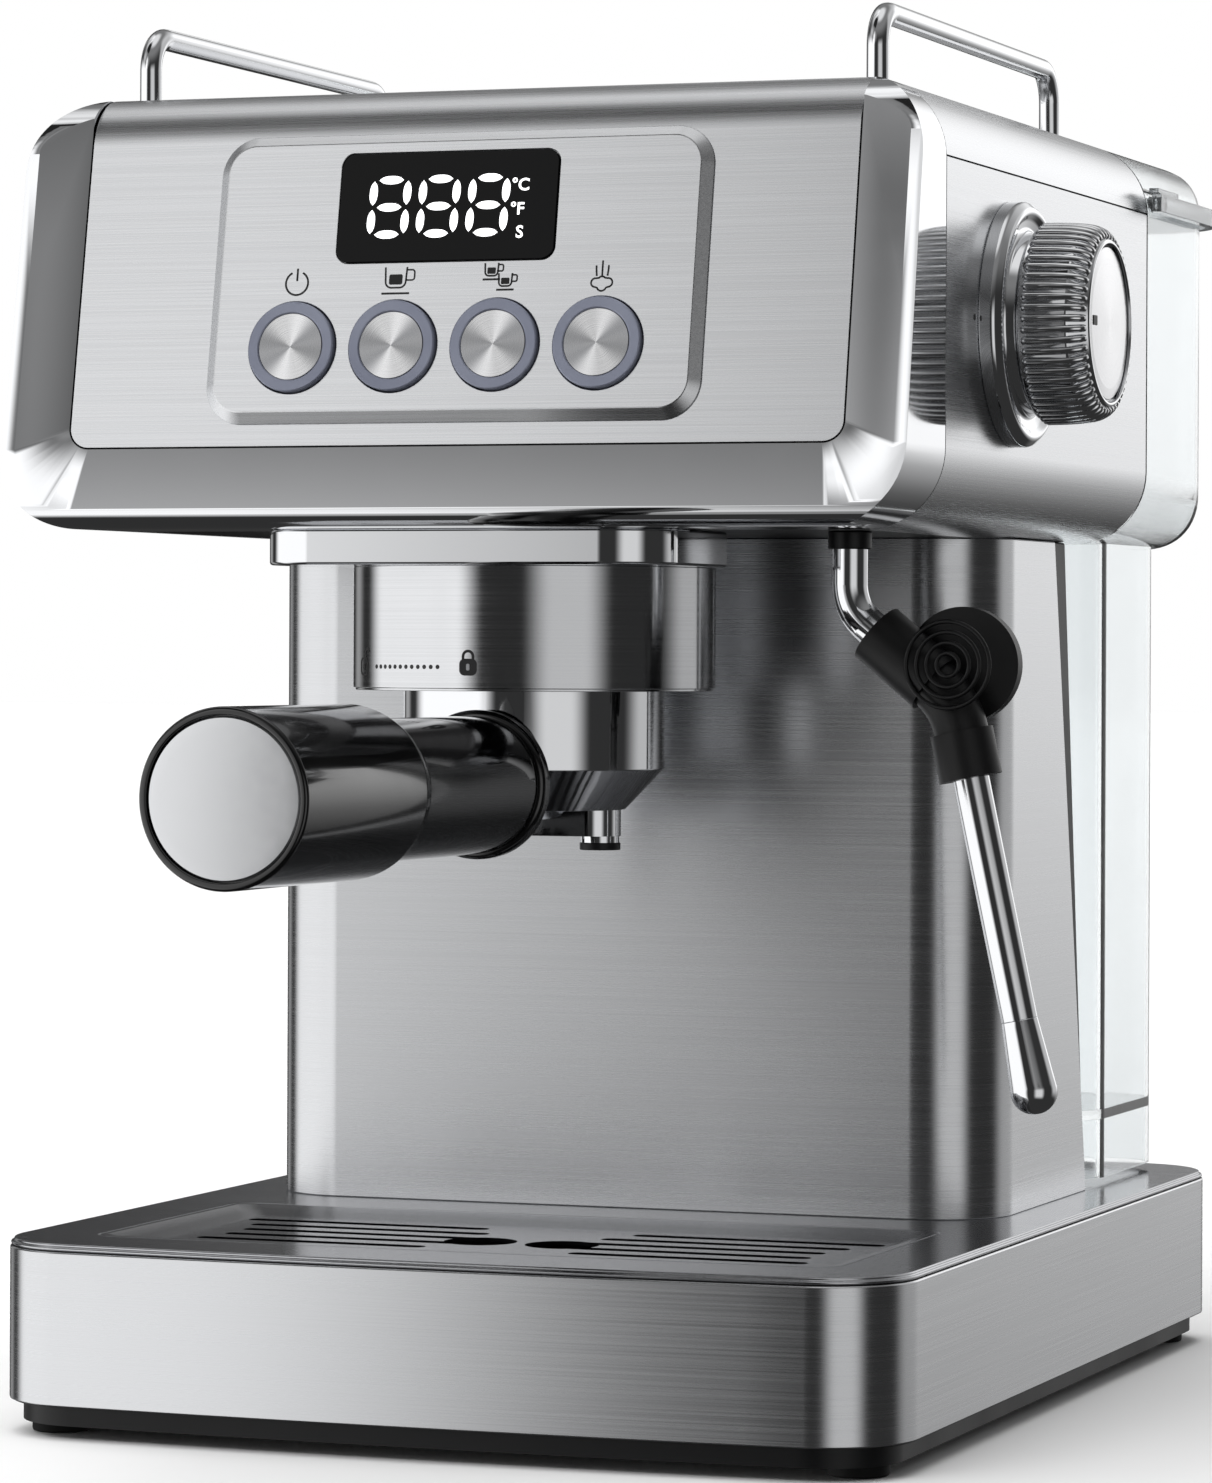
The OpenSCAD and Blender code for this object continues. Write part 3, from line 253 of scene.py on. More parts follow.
def smoothEdges(bm, limit=30):  # smooth shading, kept sharp where faces turn by more than limit degrees
    for face in bm.faces:
        face.smooth = True
    for edge in bm.edges:
        edge.smooth = not (len(edge.link_faces) == 2 and edge.calc_face_angle(0) > math.radians(limit))


softAngle = 32  # degrees: edges sharper than this are softened


def newPiece(name, bm, material, body, stands=(), bevel=0.0, limit=30, weighted=True):
    # a mesh piece on a body, with softened edges and the material slot it takes its finish from
    smoothEdges(bm, limit)
    mesh = bpy.data.meshes.new(name)
    bm.to_mesh(mesh)
    bm.free()
    mesh.materials.append(material)
    piece = bpy.data.objects.new(name, mesh)
    bpy.context.scene.collection.objects.link(piece)
    if bevel:
        edge = piece.modifiers.new("softEdges", "BEVEL")
        edge.width = bevel * mm
        edge.segments = 2
        edge.limit_method = "ANGLE"
        edge.angle_limit = math.radians(softAngle)
        edge.use_clamp_overlap = True
    if weighted:
        piece.modifiers.new("evenNormals", "WEIGHTED_NORMAL").keep_sharp = True
    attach(piece, body)
    if stands:
        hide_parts(*stands)
    return piece


def printed(name, bm, material, body):  # a thin flat mark with hard edges
    return newPiece(name, closeUp(bm), material, body, (), weighted=False)


def finished(node, material, bevel):
    # a copy of a CAD solid with its flat faces merged and its edges softened, standing for that node
    bm = bmesh.new()
    bm.from_mesh(nodes[node].data)
    bmesh.ops.remove_doubles(bm, verts=bm.verts, dist=1e-6)
    bmesh.ops.dissolve_limit(bm, angle_limit=math.radians(0.4), verts=bm.verts, edges=bm.edges)
    return newPiece(node + "Finish", bm, material, bodyOf[node], (node,), bevel)


def filleted(points, radius, steps=4, closed=False):
    # a 2D line with its corners rounded; radius is one number, or one for each point, in the points' unit
    count = len(points)
    out = []
    for i, p in enumerate(points):
        r = radius[i] if isinstance(radius, (list, tuple)) else radius
        if r <= 0 or (not closed and i in (0, count - 1)):
            out.append(tuple(p))
            continue
        here = Vector(p)
        a, b = Vector(points[i - 1]) - here, Vector(points[(i + 1) % count]) - here
        la, lb = a.length, b.length
        half = a.angle(b) / 2
        if abs(half - math.pi / 2) < 0.01:
            out.append(tuple(p))
            continue
        back = min(r / math.tan(half), la * 0.48, lb * 0.48)  # never past the middle of a side
        r = back * math.tan(half)
        a.normalize()
        b.normalize()
        centre = here + (a + b).normalized() * (r / math.sin(half))
        start, end = here + a * back - centre, here + b * back - centre
        for k in range(steps + 1):
            arm = start.lerp(end, k / steps)
            out.append(tuple(centre + arm.normalized() * r))
    return out


def joinRings(bm, rings, closedRound=True, capStart=False, capEnd=False):  # quads between rings of points
    made = [[bm.verts.new(p) for p in ring] for ring in rings]
    for a, b in zip(made, made[1:]):
        count = len(a)
        for i in range(count if closedRound else count - 1):
            j = (i + 1) % count
            bm.faces.new((a[i], a[j], b[j], b[i]))
    if capStart:
        bm.faces.new(list(reversed(made[0])))
    if capEnd:
        bm.faces.new(made[-1])
    return made


def closeUp(bm):  # doubles merged, then every face turned outward
    bmesh.ops.remove_doubles(bm, verts=bm.verts, dist=1e-7)
    bmesh.ops.dissolve_degenerate(bm, edges=bm.edges, dist=1e-8)
    bmesh.ops.recalc_face_normals(bm, faces=bm.faces)
    return bm


def lathe(profile, place, segments=128):  # (radius, height) points in mm, turned about local z
    bm = bmesh.new()
    rings = []
    turns = [2 * math.pi * k / segments for k in range(segments)]
    for r, h in profile:
        rings.append([place @ Vector((r * mm * math.cos(t), r * mm * math.sin(t), h * mm)) for t in turns])
    joinRings(bm, rings)
    return closeUp(bm)


def centreOf(node):
    lo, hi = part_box(node)
    return (lo + hi) / 2


# where things are, from the CAD boxes
look = {"lean": 10.0, "frameFoot": 4.9, "frameRise": 66.4}  # the face's lean in degrees, its frame in mm
lean = math.radians(look["lean"])
frameLo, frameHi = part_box("control_frame")
midX = centreOf("base_skirt").x
faceOrigin = Vector((centreOf("control_frame").x,
                     frameHi.y - (look["frameFoot"] + look["frameRise"]) * mm * math.sin(lean),
                     frameLo.z - look["frameFoot"] * mm * math.cos(lean)))
facePlace = Matrix.Translation(faceOrigin) @ Matrix.Rotation(math.pi / 2 - lean, 4, "X")
groupAxis = centreOf("group_collar")
groupPlace = Matrix.Translation((groupAxis.x, groupAxis.y, 0))
handleZ = centreOf("handle_cap").z
handlePlace = Matrix.Translation((groupAxis.x, groupAxis.y, handleZ)) @ Matrix.Rotation(math.pi / 2, 4, "X")
dialAxis = centreOf("dial_plate")
knobPlace = Matrix.Translation((0, dialAxis.y, dialAxis.z)) @ Matrix.Rotation(math.pi / 2, 4, "Y")


def onFace(node):  # a node's centre in the leaning face's own plane, in mm
    return (facePlace.inverted() @ centreOf(node)) / mm


camera = {"back": (459.5, -1283.7, 178.0), "turn": 20.115, "tilt": 0.05, "roll": 0.249,
          "lens": 135.9, "shiftY": -0.0645}  # from the machine's own middle, in mm and degrees
machineY = (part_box("feet")[0].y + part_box("feet")[1].y) / 2
eye = Vector((midX, machineY, 0)) + Vector(camera["back"]) * mm
ahead = Vector((-math.sin(math.radians(camera["turn"])), math.cos(math.radians(camera["turn"])),
                math.tan(math.radians(camera["tilt"])))).normalized()
cameraData = bpy.data.cameras.new("studioCamera")
cameraData.sensor_width = 36
cameraData.sensor_fit = "AUTO"
cameraData.lens = camera["lens"]
cameraData.shift_y = camera["shiftY"]
cameraData.clip_start = 0.05
cameraData.clip_end = 60
cameraPiece = bpy.data.objects.new("studioCamera", cameraData)
bpy.context.scene.collection.objects.link(cameraPiece)
cameraPiece.location = eye
cameraPiece.rotation_euler = (ahead.to_track_quat("-Z", "Y").to_matrix().to_4x4() @
                              Matrix.Rotation(math.radians(camera["roll"]), 4, "Z")).to_euler()
bpy.context.scene.camera = cameraPiece
bpy.context.scene.view_settings.view_transform = "Standard"

# a light tent over a pale floor, with soft boxes and dark flags placed by direction only
tentGlow = 0.035  # the tent's own brightness between the boxes
studio = {  # azimuth and half width, elevation and half height, soft edge, all in degrees, then brightness
    "ceiling": (0, 400, 90, 58, 16, 0.2),
    "leftBox": (-151, 40, -14, 28, 9, 1.25),
    "leftUpperBox": (-152, 16, 24, 14, 9, 0.5),
    "panelBox": (-116, 9, 22, 11, 8, 1.25),
    "leftChamferBox": (-96, 5, 24, 8, 6, 0.22),
    "frontRightBox": (-48, 20, -8, 20, 10, 0.75),
    "rightBox": (58, 30, 15, 26, 12, 0.55),
    "sideBox": (80, 14, 13, 13, 8, 0.85),
    "dishBox": (106, 6, 19, 7, 5, 0.9),
    "backBox": (141, 7, 0, 30, 6, 0.35),
    "overheadBox": (0, 400, 90, 24, 9, 0.7),
    "rollFlag": (-140, 28, 62, 13, 8, -0.7),
    "farLeftBox": (-172, 14, 58, 14, 8, 0.6),
    "farBackBox": (152, 16, 58, 14, 8, 0.6),
}
darkest = 0.02  # a flag never takes the tent below this
world = bpy.data.worlds.new("studioTent")
world.use_nodes = True
bpy.context.scene.world = world
tent = world.node_tree
tent.nodes.clear()
direction = addNode(tent, "ShaderNodeTexCoord").outputs["Generated"]
heading = addNode(tent, "ShaderNodeSeparateXYZ", {0: direction}).outputs
toDegrees = 180 / math.pi
azimuth = maths(tent, "MULTIPLY", maths(tent, "ARCTAN2", heading[1], heading[0]), toDegrees)
elevation = maths(tent, "MULTIPLY", maths(tent, "ARCSINE", heading[2]), toDegrees)


def window(value, middle, half, soft):  # 1 inside the band, 0 outside, soft at its edge
    away = maths(tent, "ABSOLUTE", maths(tent, "SUBTRACT", value, middle))
    limits = {"Value": away, "From Min": half + soft, "From Max": half - soft, "To Min": 0.0, "To Max": 1.0}
    return addNode(tent, "ShaderNodeMapRange", limits, interpolation_type="SMOOTHSTEP").outputs[0]


light = maths(tent, "ADD", tentGlow, 0.0)
for az, azHalf, el, elHalf, soft, power in studio.values():
    turned = maths(tent, "WRAP", maths(tent, "SUBTRACT", azimuth, az), 180, -180)
    inside = maths(tent, "MULTIPLY", window(turned, 0, azHalf, soft), window(elevation, el, elHalf, soft))
    light = maths(tent, "MULTIPLY_ADD", inside, power, light)
light = maths(tent, "MAXIMUM", light, darkest)
path = addNode(tent, "ShaderNodeLightPath").outputs
# plain white behind the machine, and through its clear walls
seen = maths(tent, "MAXIMUM", path["Is Camera Ray"], path["Is Transmission Ray"])
glow = addNode(tent, "ShaderNodeBackground", {"Color": (1, 1, 1, 1), "Strength": 1.0})
boxes = addNode(tent, "ShaderNodeBackground", {"Color": (1, 1, 1, 1), "Strength": light})
both = addNode(tent, "ShaderNodeMixShader", {0: seen, 1: boxes.outputs[0], 2: glow.outputs[0]})
addNode(tent, "ShaderNodeOutputWorld", {"Surface": both.outputs[0]})

floorSize = 30.0
floorMesh = bmesh.new()
bmesh.ops.create_grid(floorMesh, x_segments=24, y_segments=24, size=floorSize / 2)
floorData = bpy.data.meshes.new("paleFloor")
floorMesh.to_mesh(floorData)
floorMesh.free()
paperWhite, paperTree, paperShader = newMaterial("whitePaperFloor", "#f7f7f7", 0.9)
setBump(paperTree, paperShader, objectNoise(paperTree, (300, 300, 300)), 0.05 * mm, 0.2)
floorData.materials.append(paperWhite)
floor = bpy.data.objects.new("paleFloor", floorData)
floor.visible_glossy = False  # the metal mirrors the boxes below it, and not the floor
bpy.context.scene.collection.objects.link(floor)

sky = {"power": 2.75, "spread": 75, "aim": (0.25, 0.3, -1)}  # a broad soft lamp high above, to the front left
lamp = bpy.data.lights.new("broadLamp", "SUN")
lamp.energy = sky["power"]
lamp.angle = math.radians(sky["spread"])
lampPiece = bpy.data.objects.new("broadLamp", lamp)
lampPiece.visible_glossy = False
bpy.context.scene.collection.objects.link(lampPiece)
lampPiece.rotation_euler = Vector(sky["aim"]).to_track_quat("-Z", "Y").to_euler()
print("camera, light and floor set")


def nodeTree(name, sizes):  # a modifier tree with named number inputs and a material input
    tree = bpy.data.node_groups.new(name, "GeometryNodeTree")
    tree.interface.new_socket("Geometry", in_out="INPUT", socket_type="NodeSocketGeometry")
    for key, value in sizes.items():
        kind = "NodeSocketInt" if isinstance(value, int) else "NodeSocketFloat"
        tree.interface.new_socket(key, in_out="INPUT", socket_type=kind)
    tree.interface.new_socket("finish", in_out="INPUT", socket_type="NodeSocketMaterial")
    tree.interface.new_socket("Geometry", in_out="OUTPUT", socket_type="NodeSocketGeometry")
    return tree, tree.nodes.new("NodeGroupInput").outputs


def closeTree(tree, geometry, finish):  # instances made real and given their material
    real = addNode(tree, "GeometryNodeRealizeInstances", {"Geometry": geometry})
    coat = addNode(tree, "GeometryNodeSetMaterial", {"Geometry": real.outputs[0], "Material": finish})
    addNode(tree, "NodeGroupOutput", {"Geometry": coat.outputs[0]})


def grown(name, tree, sizes, material, place, body, limit=50):
    # runs a tree on an empty mesh, keeps the result as a plain mesh in place, and drops the modifier
    carrier = bpy.data.objects.new(name + "Carrier", bpy.data.meshes.new(name + "Carrier"))
    bpy.context.scene.collection.objects.link(carrier)
    grower = carrier.modifiers.new("grow", "NODES")
    grower.node_group = tree
    for socket in tree.interface.items_tree:
        if socket.in_out == "INPUT" and socket.name in sizes:
            grower[socket.identifier] = sizes[socket.name]
        elif socket.in_out == "INPUT" and socket.name == "finish":
            grower[socket.identifier] = material
    bpy.context.view_layer.update()
    solid = bpy.data.meshes.new_from_object(carrier.evaluated_get(bpy.context.evaluated_depsgraph_get()))
    carrier.modifiers.clear()
    bpy.data.objects.remove(carrier)
    bm = bmesh.new()
    bm.from_mesh(solid)
    bm.transform(place)
    closeUp(bm)
    return newPiece(name, bm, material, body, (), 0, limit, False)


def spunCopies(tree, shape, count, step, start):  # copies of a shape turned about z, step radians apart
    points = addNode(tree, "GeometryNodePoints", {"Count": count})
    index = addNode(tree, "GeometryNodeInputIndex").outputs[0]
    angle = maths(tree, "MULTIPLY_ADD", index, step, start)
    turn = addNode(tree, "ShaderNodeCombineXYZ", {"Z": angle})
    return addNode(tree, "GeometryNodeInstanceOnPoints", {"Points": points.outputs[0], "Instance": shape,
                   "Rotation": turn.outputs[0]}).outputs[0]


# the steam knob: a dial ring on the head's side, then a core with ribs round it and a spun face
dial = {"lip": 3.4, "crest": 5.6, "crestIn": 2.2, "fall": 4.1, "fallIn": 4.2, "well": 3.2, "wellIn": 7.0,
        "holeIn": 7.8}  # mm out from the head, and mm in from the ring's edge
knob = {"ribs": 56, "ribRound": 1.02, "rearGap": 0.9, "fold": 4.6, "groove": 0.7, "rimWide": 0.9, "recess": 1.6,
        "crown": 0.42, "faceFold": 0.55}  # mm
plateLo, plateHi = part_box("dial_plate")
knobLo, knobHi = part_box("knob_body")
faceLo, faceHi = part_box("knob_face")
dialR = (plateHi.z - plateLo.z) / 2 / mm
knobR = (knobHi.z - knobLo.z) / 2 / mm
faceR = (faceHi.z - faceLo.z) / 2 / mm
x0, x1 = plateLo.x / mm, plateHi.x / mm
k0, k1 = knobLo.x / mm, knobHi.x / mm
dialProfile = filleted([(0, x0), (dialR, x0), (dialR, x0 + dial["lip"]),
                        (dialR - dial["crestIn"], x0 + dial["crest"]),
                        (dialR - dial["fallIn"], x0 + dial["fall"]),
                        (dialR - dial["wellIn"], x0 + dial["well"]),
                        (dialR - dial["holeIn"], x1), (0, x1)],
                       [0, 0.4, 1.6, 1.4, 2.2, 1.2, 0.5, 0], 6)
newPiece("dialRing", lathe(dialProfile, knobPlace), chrome, "machine", ("dial_plate",))
core = knobR - knob["ribRound"] - 0.15
rim = faceR + knob["groove"]
coreProfile = filleted([(0, k0), (core, k0), (core, k1 - knob["fold"]), (rim + knob["rimWide"], k1 - 0.25),
                        (rim + 0.5, k1), (rim, k1), (rim, k1 - knob["recess"]), (0, k1 - knob["recess"])],
                       [0, 0.6, 1.2, 0.3, 0.2, 0.2, 0.2, 0], 4)
newPiece("knobCore", lathe(coreProfile, knobPlace), chrome, "steam_knob", ("knob_body",))
ribTree, ribIn = nodeTree("knobRibTree", {"ribs": 1, "seat": 1.0, "rear": 1.0, "front": 1.0,
                                          "foldRadius": 1.0, "foldDepth": 1.0, "ribRound": 1.0})
line = addNode(ribTree, "GeometryNodeCurvePrimitiveBezierSegment", mode="POSITION")
for socket, radius, height in (("Start", "seat", "rear"), ("Start Handle", "seat", "foldDepth"),
                               ("End Handle", "seat", "front"), ("End", "foldRadius", "front")):
    at = addNode(ribTree, "ShaderNodeCombineXYZ", {"X": ribIn[radius], "Z": ribIn[height]})
    ribTree.links.new(at.outputs[0], line.inputs[socket])
line.inputs["Resolution"].default_value = 14
along = addNode(ribTree, "GeometryNodeSplineParameter").outputs["Factor"]
fromMid = maths(ribTree, "ABSOLUTE", maths(ribTree, "MULTIPLY_ADD", along, 2.0, -1.0))
endPart = maths(ribTree, "MAXIMUM", maths(ribTree, "MULTIPLY_ADD", fromMid, 10.0, -9.0), 0.0)
endDrop = maths(ribTree, "SUBTRACT", 1.02, maths(ribTree, "MULTIPLY", endPart, endPart))
endRound = maths(ribTree, "SQRT", endDrop)  # each rib narrows to a round end
slim = maths(ribTree, "MULTIPLY_ADD", along, -0.16, 1.0)
ribSize = maths(ribTree, "MULTIPLY", maths(ribTree, "MULTIPLY", endRound, slim), ribIn["ribRound"])
roundPart = addNode(ribTree, "GeometryNodeCurvePrimitiveCircle", {"Resolution": 10, "Radius": 1.0})
evenLine = addNode(ribTree, "GeometryNodeResampleCurve", {"Curve": line.outputs[0], "Count": 24})
ribMesh = addNode(ribTree, "GeometryNodeCurveToMesh", {"Curve": evenLine.outputs[0], "Scale": ribSize,
                  "Profile Curve": roundPart.outputs[0], "Fill Caps": True})
ribStep = maths(ribTree, "DIVIDE", 2 * math.pi, ribIn["ribs"])
ribs = spunCopies(ribTree, ribMesh.outputs[0], ribIn["ribs"], ribStep, 0.0)
closeTree(ribTree, ribs, ribIn["finish"])
ribSizes = {"ribs": knob["ribs"], "seat": (knobR - knob["ribRound"] - 0.05) * mm,
            "rear": (k0 + knob["rearGap"]) * mm, "front": (k1 - 1.0) * mm,
            "foldRadius": (rim + knob["rimWide"]) * mm, "foldDepth": (k1 - 6.5) * mm,
            "ribRound": knob["ribRound"] * mm}
grown("knobRibs", ribTree, ribSizes, chrome, knobPlace, "steam_knob", 60)
facePlate = spunMetal("spunKnobFace", centreOf("knob_face"), "#dededf", "#e8e8ea", 0.24, 0.3)
f0, f1 = faceLo.x / mm, faceHi.x / mm
crownPart = [1 - t / 8 for t in range(1, 8)]  # the face's crown, from its edge inward
faceProfile = [(0, f0), (faceR, f0), (faceR, f1 - knob["faceFold"])] + [
    (faceR * part - 0.3, f1 - knob["crown"] * part ** 2) for part in crownPart] + [(0, f1)]
newPiece("knobFace", lathe(filleted(faceProfile, 0.2, 3), knobPlace), facePlate, "steam_knob", ("knob_face",))


def addPlate(bm, outline, place, low, high):  # a thin solid from a flat outline in mm, between two heights
    rings = [[place(x, y, n) for x, y in outline] for n in (low, high)]
    joinRings(bm, rings, True, True, True)


def addBand(bm, points, width, place, low, high, closed=False):  # a line of even width, as a thin solid
    count = len(points)
    left, right = [], []
    for i, p in enumerate(points):
        before = points[i - 1] if closed or i else points[i]
        after = points[(i + 1) % count] if closed or i < count - 1 else points[i]
        run = Vector((after[0] - before[0], after[1] - before[1])).normalized()
        side = Vector((-run.y, run.x)) * width / 2
        left.append((p[0] + side.x, p[1] + side.y))
        right.append((p[0] - side.x, p[1] - side.y))
    if not closed:
        addPlate(bm, left + right[::-1], place, low, high)
        return
    edges = ((left, low), (left, high), (right, high), (right, low))
    loops = [[place(x, y, n) for x, y in line] for line, n in edges]
    joinRings(bm, loops + [loops[0]])


def arcPoints(cx, cy, r, start, end, steps):  # points of an arc, from start to end in degrees
    turns = [math.radians(start + (end - start) * i / steps) for i in range(steps + 1)]
    return [(cx + r * math.cos(t), cy + r * math.sin(t)) for t in turns]


def onPanel(x, y, n):  # a point of the leaning face: x right, y up, n out, in mm
    return facePlace @ Vector((x * mm, y * mm, n * mm))


def boxPoints(cx, cy, w, h, r):  # a rectangle with round corners
    corners = [(cx + i * w / 2, cy + j * h / 2) for i, j in ((-1, -1), (1, -1), (1, 1), (-1, 1))]
    return filleted(corners, r, 4, True)


icons = {"rise": 37.1, "line": 0.42, "low": 2.12, "high": 2.23}  # mm up the face, wide and out of it
cup = {"wide": 5.2, "high": 4.7, "corner": 1.4, "handle": 0.6,  # mm
       "foot": 0.9, "small": 0.62}  # shares of the cup's width and size


def stroke(bm, points, share=1.0, closed=False):  # a printed line on the face, share of the usual width
    addBand(bm, points, icons["line"] * share, onPanel, icons["low"], icons["high"], closed)


def drawCup(bm, cx, cy, size):  # a cup of coffee with a square handle, over a saucer line
    w, h = cup["wide"] * size, cup["high"] * size
    foot = w / 2 * cup["foot"]
    corner, turn = cup["corner"] * size, cup["handle"] * size
    stroke(bm, filleted([(cx - w / 2, cy + h / 2), (cx - foot, cy - h / 2), (cx + foot, cy - h / 2),
                         (cx + w / 2, cy + h / 2)], [0, corner, corner, 0], 5))
    stroke(bm, filleted([(cx + w / 2, cy + h * 0.36), (cx + w * 0.86, cy + h * 0.36),
                         (cx + w * 0.86, cy - h * 0.14), (cx + w * 0.46, cy - h * 0.14)],
                        [0, turn, turn, 0], 4), 0.9)
    coffee = boxPoints(cx, cy - 0.1 * h, w * 0.62, h * 0.5, 0.4 * size)
    addPlate(bm, coffee, onPanel, icons["low"], icons["high"])
    stroke(bm, [(cx - w * 0.62, cy - h * 0.78), (cx + w * 0.66, cy - h * 0.78)], 1.1)


def drawPower(bm, cx, cy):  # an open ring and an upright stroke
    stroke(bm, arcPoints(cx, cy - 0.3, 2.7, 118, 422, 30), 1.1)
    stroke(bm, [(cx, cy + 0.2), (cx, cy + 3.1)], 1.1)


def drawSteam(bm, cx, cy):  # three wisps over a cloud
    for dx, bend, tall in ((-1.25, -0.5, 2.2), (0, 0, 3.3), (1.25, 0.5, 2.2)):
        stroke(bm, [(cx + dx, cy - 0.2), (cx + dx + bend * 0.3, cy + tall * 0.5),
                    (cx + dx + bend * 0.4, cy + tall)])
    cloud = (arcPoints(cx - 1.5, cy - 1.7, 1.0, 80, 270, 8) + arcPoints(cx, cy - 2.5, 1.1, 200, 340, 6) +
             arcPoints(cx + 1.5, cy - 1.7, 1.0, -90, 100, 8) + arcPoints(cx, cy - 1.2, 0.9, 40, 140, 6))
    stroke(bm, cloud, 1.0, True)


iconMesh = bmesh.new()
iconRise = icons["rise"]
drawPower(iconMesh, onFace("power_disc").x, iconRise)
drawCup(iconMesh, onFace("single_disc").x - 0.4, iconRise + 0.6, 1.0)
drawCup(iconMesh, onFace("double_disc").x - 1.9, iconRise + 2.0, cup["small"])
drawCup(iconMesh, onFace("double_disc").x + 1.5, iconRise - 0.4, cup["small"])
drawSteam(iconMesh, onFace("steam_disc").x, iconRise + 0.2)
printed("panelIcons", iconMesh, printInk, "machine")

display = {"digitWide": 8.1, "digitHigh": 14.3, "pitch": 11.85, "first": -18.1, "thick": 0.95, "slant": 0.03,
           "levelLong": 5.9, "uprightLong": 5.5, "levelInset": 0.9, "uprightInset": 0.3, "low": 2.3,
           "high": 2.42, "unitX": 15.0, "unitSize": 3.9, "unitRise": 2.38, "unitDeep": 0.05,
           "unitBold": 0.07}  # mm, from the window's centre
litWhite, litTree, litShader = newMaterial("litDisplaySegments", "#ffffff", 0.4, 0.0, Emission_Strength=1.15)
litShader.inputs["Emission Color"].default_value = toLinear("#fdfdff")
litFilm = spread(litTree, objectNoise(litTree, (900, 900, 900)), 0.36, 0.44)
litTree.links.new(litFilm, litShader.inputs["Roughness"])  # lit white film, faintly uneven in its gloss
glassMid = onFace("display_window")
segmentMesh = bmesh.new()


def drawSegment(x, y, long, upright):  # one lens shaped segment, thickest in its middle
    lens = []
    for side in (1, -1):
        for i in range(9):
            t = -1 + 2 * i / 8
            lens.append((t * long / 2 * side, display["thick"] * side * (1 - abs(t) ** 2.6) ** 0.8))
    outline = [(x + (b if upright else a), y + (a if upright else b)) for a, b in lens]
    if upright:
        outline = outline[::-1]
    outline = [(px + (py - glassMid.y) * display["slant"], py) for px, py in outline]
    addPlate(segmentMesh, outline, onPanel, display["low"], display["high"])


levelRise = display["digitHigh"] / 2 - display["levelInset"]
uprightRise = display["digitHigh"] / 4 - display["uprightInset"]
for digit in range(3):
    cx = glassMid.x + display["first"] + display["pitch"] * digit + display["digitWide"] / 2
    for level in (-1, 0, 1):
        drawSegment(cx, glassMid.y + level * levelRise, display["levelLong"], False)
    for side in (-1, 1):
        for level in (-1, 1):
            drawSegment(cx + side * display["digitWide"] / 2, glassMid.y + level * uprightRise,
                        display["uprightLong"], True)
printed("displayDigits", segmentMesh, litWhite, "machine")


def flatText(name, text, x, y):  # a unit sign made a mesh first, then laid on the face
    curve = bpy.data.curves.new(name, "FONT")
    curve.body = text
    curve.size = display["unitSize"] * mm
    curve.extrude = display["unitDeep"] * mm
    curve.offset = display["unitBold"] * mm
    curve.resolution_u = 4
    carrier = bpy.data.objects.new(name, curve)
    bpy.context.scene.collection.objects.link(carrier)
    bpy.context.view_layer.update()
    solid = bpy.data.meshes.new_from_object(carrier.evaluated_get(bpy.context.evaluated_depsgraph_get()))
    bpy.data.objects.remove(carrier)
    bm = bmesh.new()
    bm.from_mesh(solid)
    bm.transform(facePlace @ Matrix.Translation(Vector((x, y, display["unitRise"])) * mm))
    return printed(name, bm, litWhite, "machine")


unitX = glassMid.x + display["unitX"]
flatText("unitCelsius", "°C", unitX, glassMid.y + 3.2)
flatText("unitFahrenheit", "°F", unitX, glassMid.y - 2.3)
flatText("unitSeconds", "S", unitX + 1.7, glassMid.y - 7.6)

# closed and open locks round the collar, with a row of dots between them
collarLo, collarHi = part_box("group_collar")
collarR = (collarHi.x - collarLo.x) / 2 / mm
lockRow = {"dots": 12, "first": -10.5, "last": -38.0, "rise": 174.2, "dotRound": 0.5, "dotSeat": 0.09,
           "open": -47.0}  # degrees round from the front, and mm
lock = {"wide": 4.2, "high": 3.8, "corner": 1.2, "bow": 1.2, "low": -0.2, "proud": 0.07}  # mm


def onCollar(turn):  # a flat mark wrapped round the collar, turn in degrees from its front
    def place(x, y, n):
        a = math.radians(turn) + x / collarR
        r = (collarR + n) * mm
        return Vector((groupAxis.x + r * math.sin(a), groupAxis.y - r * math.cos(a), y * mm))
    return place


def drawLock(bm, place, isOpen):
    rise = lockRow["rise"]
    low, high = lock["low"], lock["proud"]
    body = boxPoints(0, rise, lock["wide"], lock["high"], lock["corner"])
    if isOpen:
        bow = [(0.9, rise + 1.8)] + arcPoints(2.0, rise + 2.9, lock["bow"] - 0.05, 180, 20, 10)
        addBand(bm, body, 0.4, place, low, high, True)
        addPlate(bm, boxPoints(0, rise, 0.9, 1.6, 0.3), place, low, high)
        addBand(bm, bow, 0.45, place, low, high)
    else:
        bow = arcPoints(0, rise + 2.4, lock["bow"], 180, 0, 12)
        addPlate(bm, body, place, low, high)
        addBand(bm, [(-lock["bow"], rise + 1.6)] + bow + [(lock["bow"], rise + 1.6)], 0.62, place, low, high)


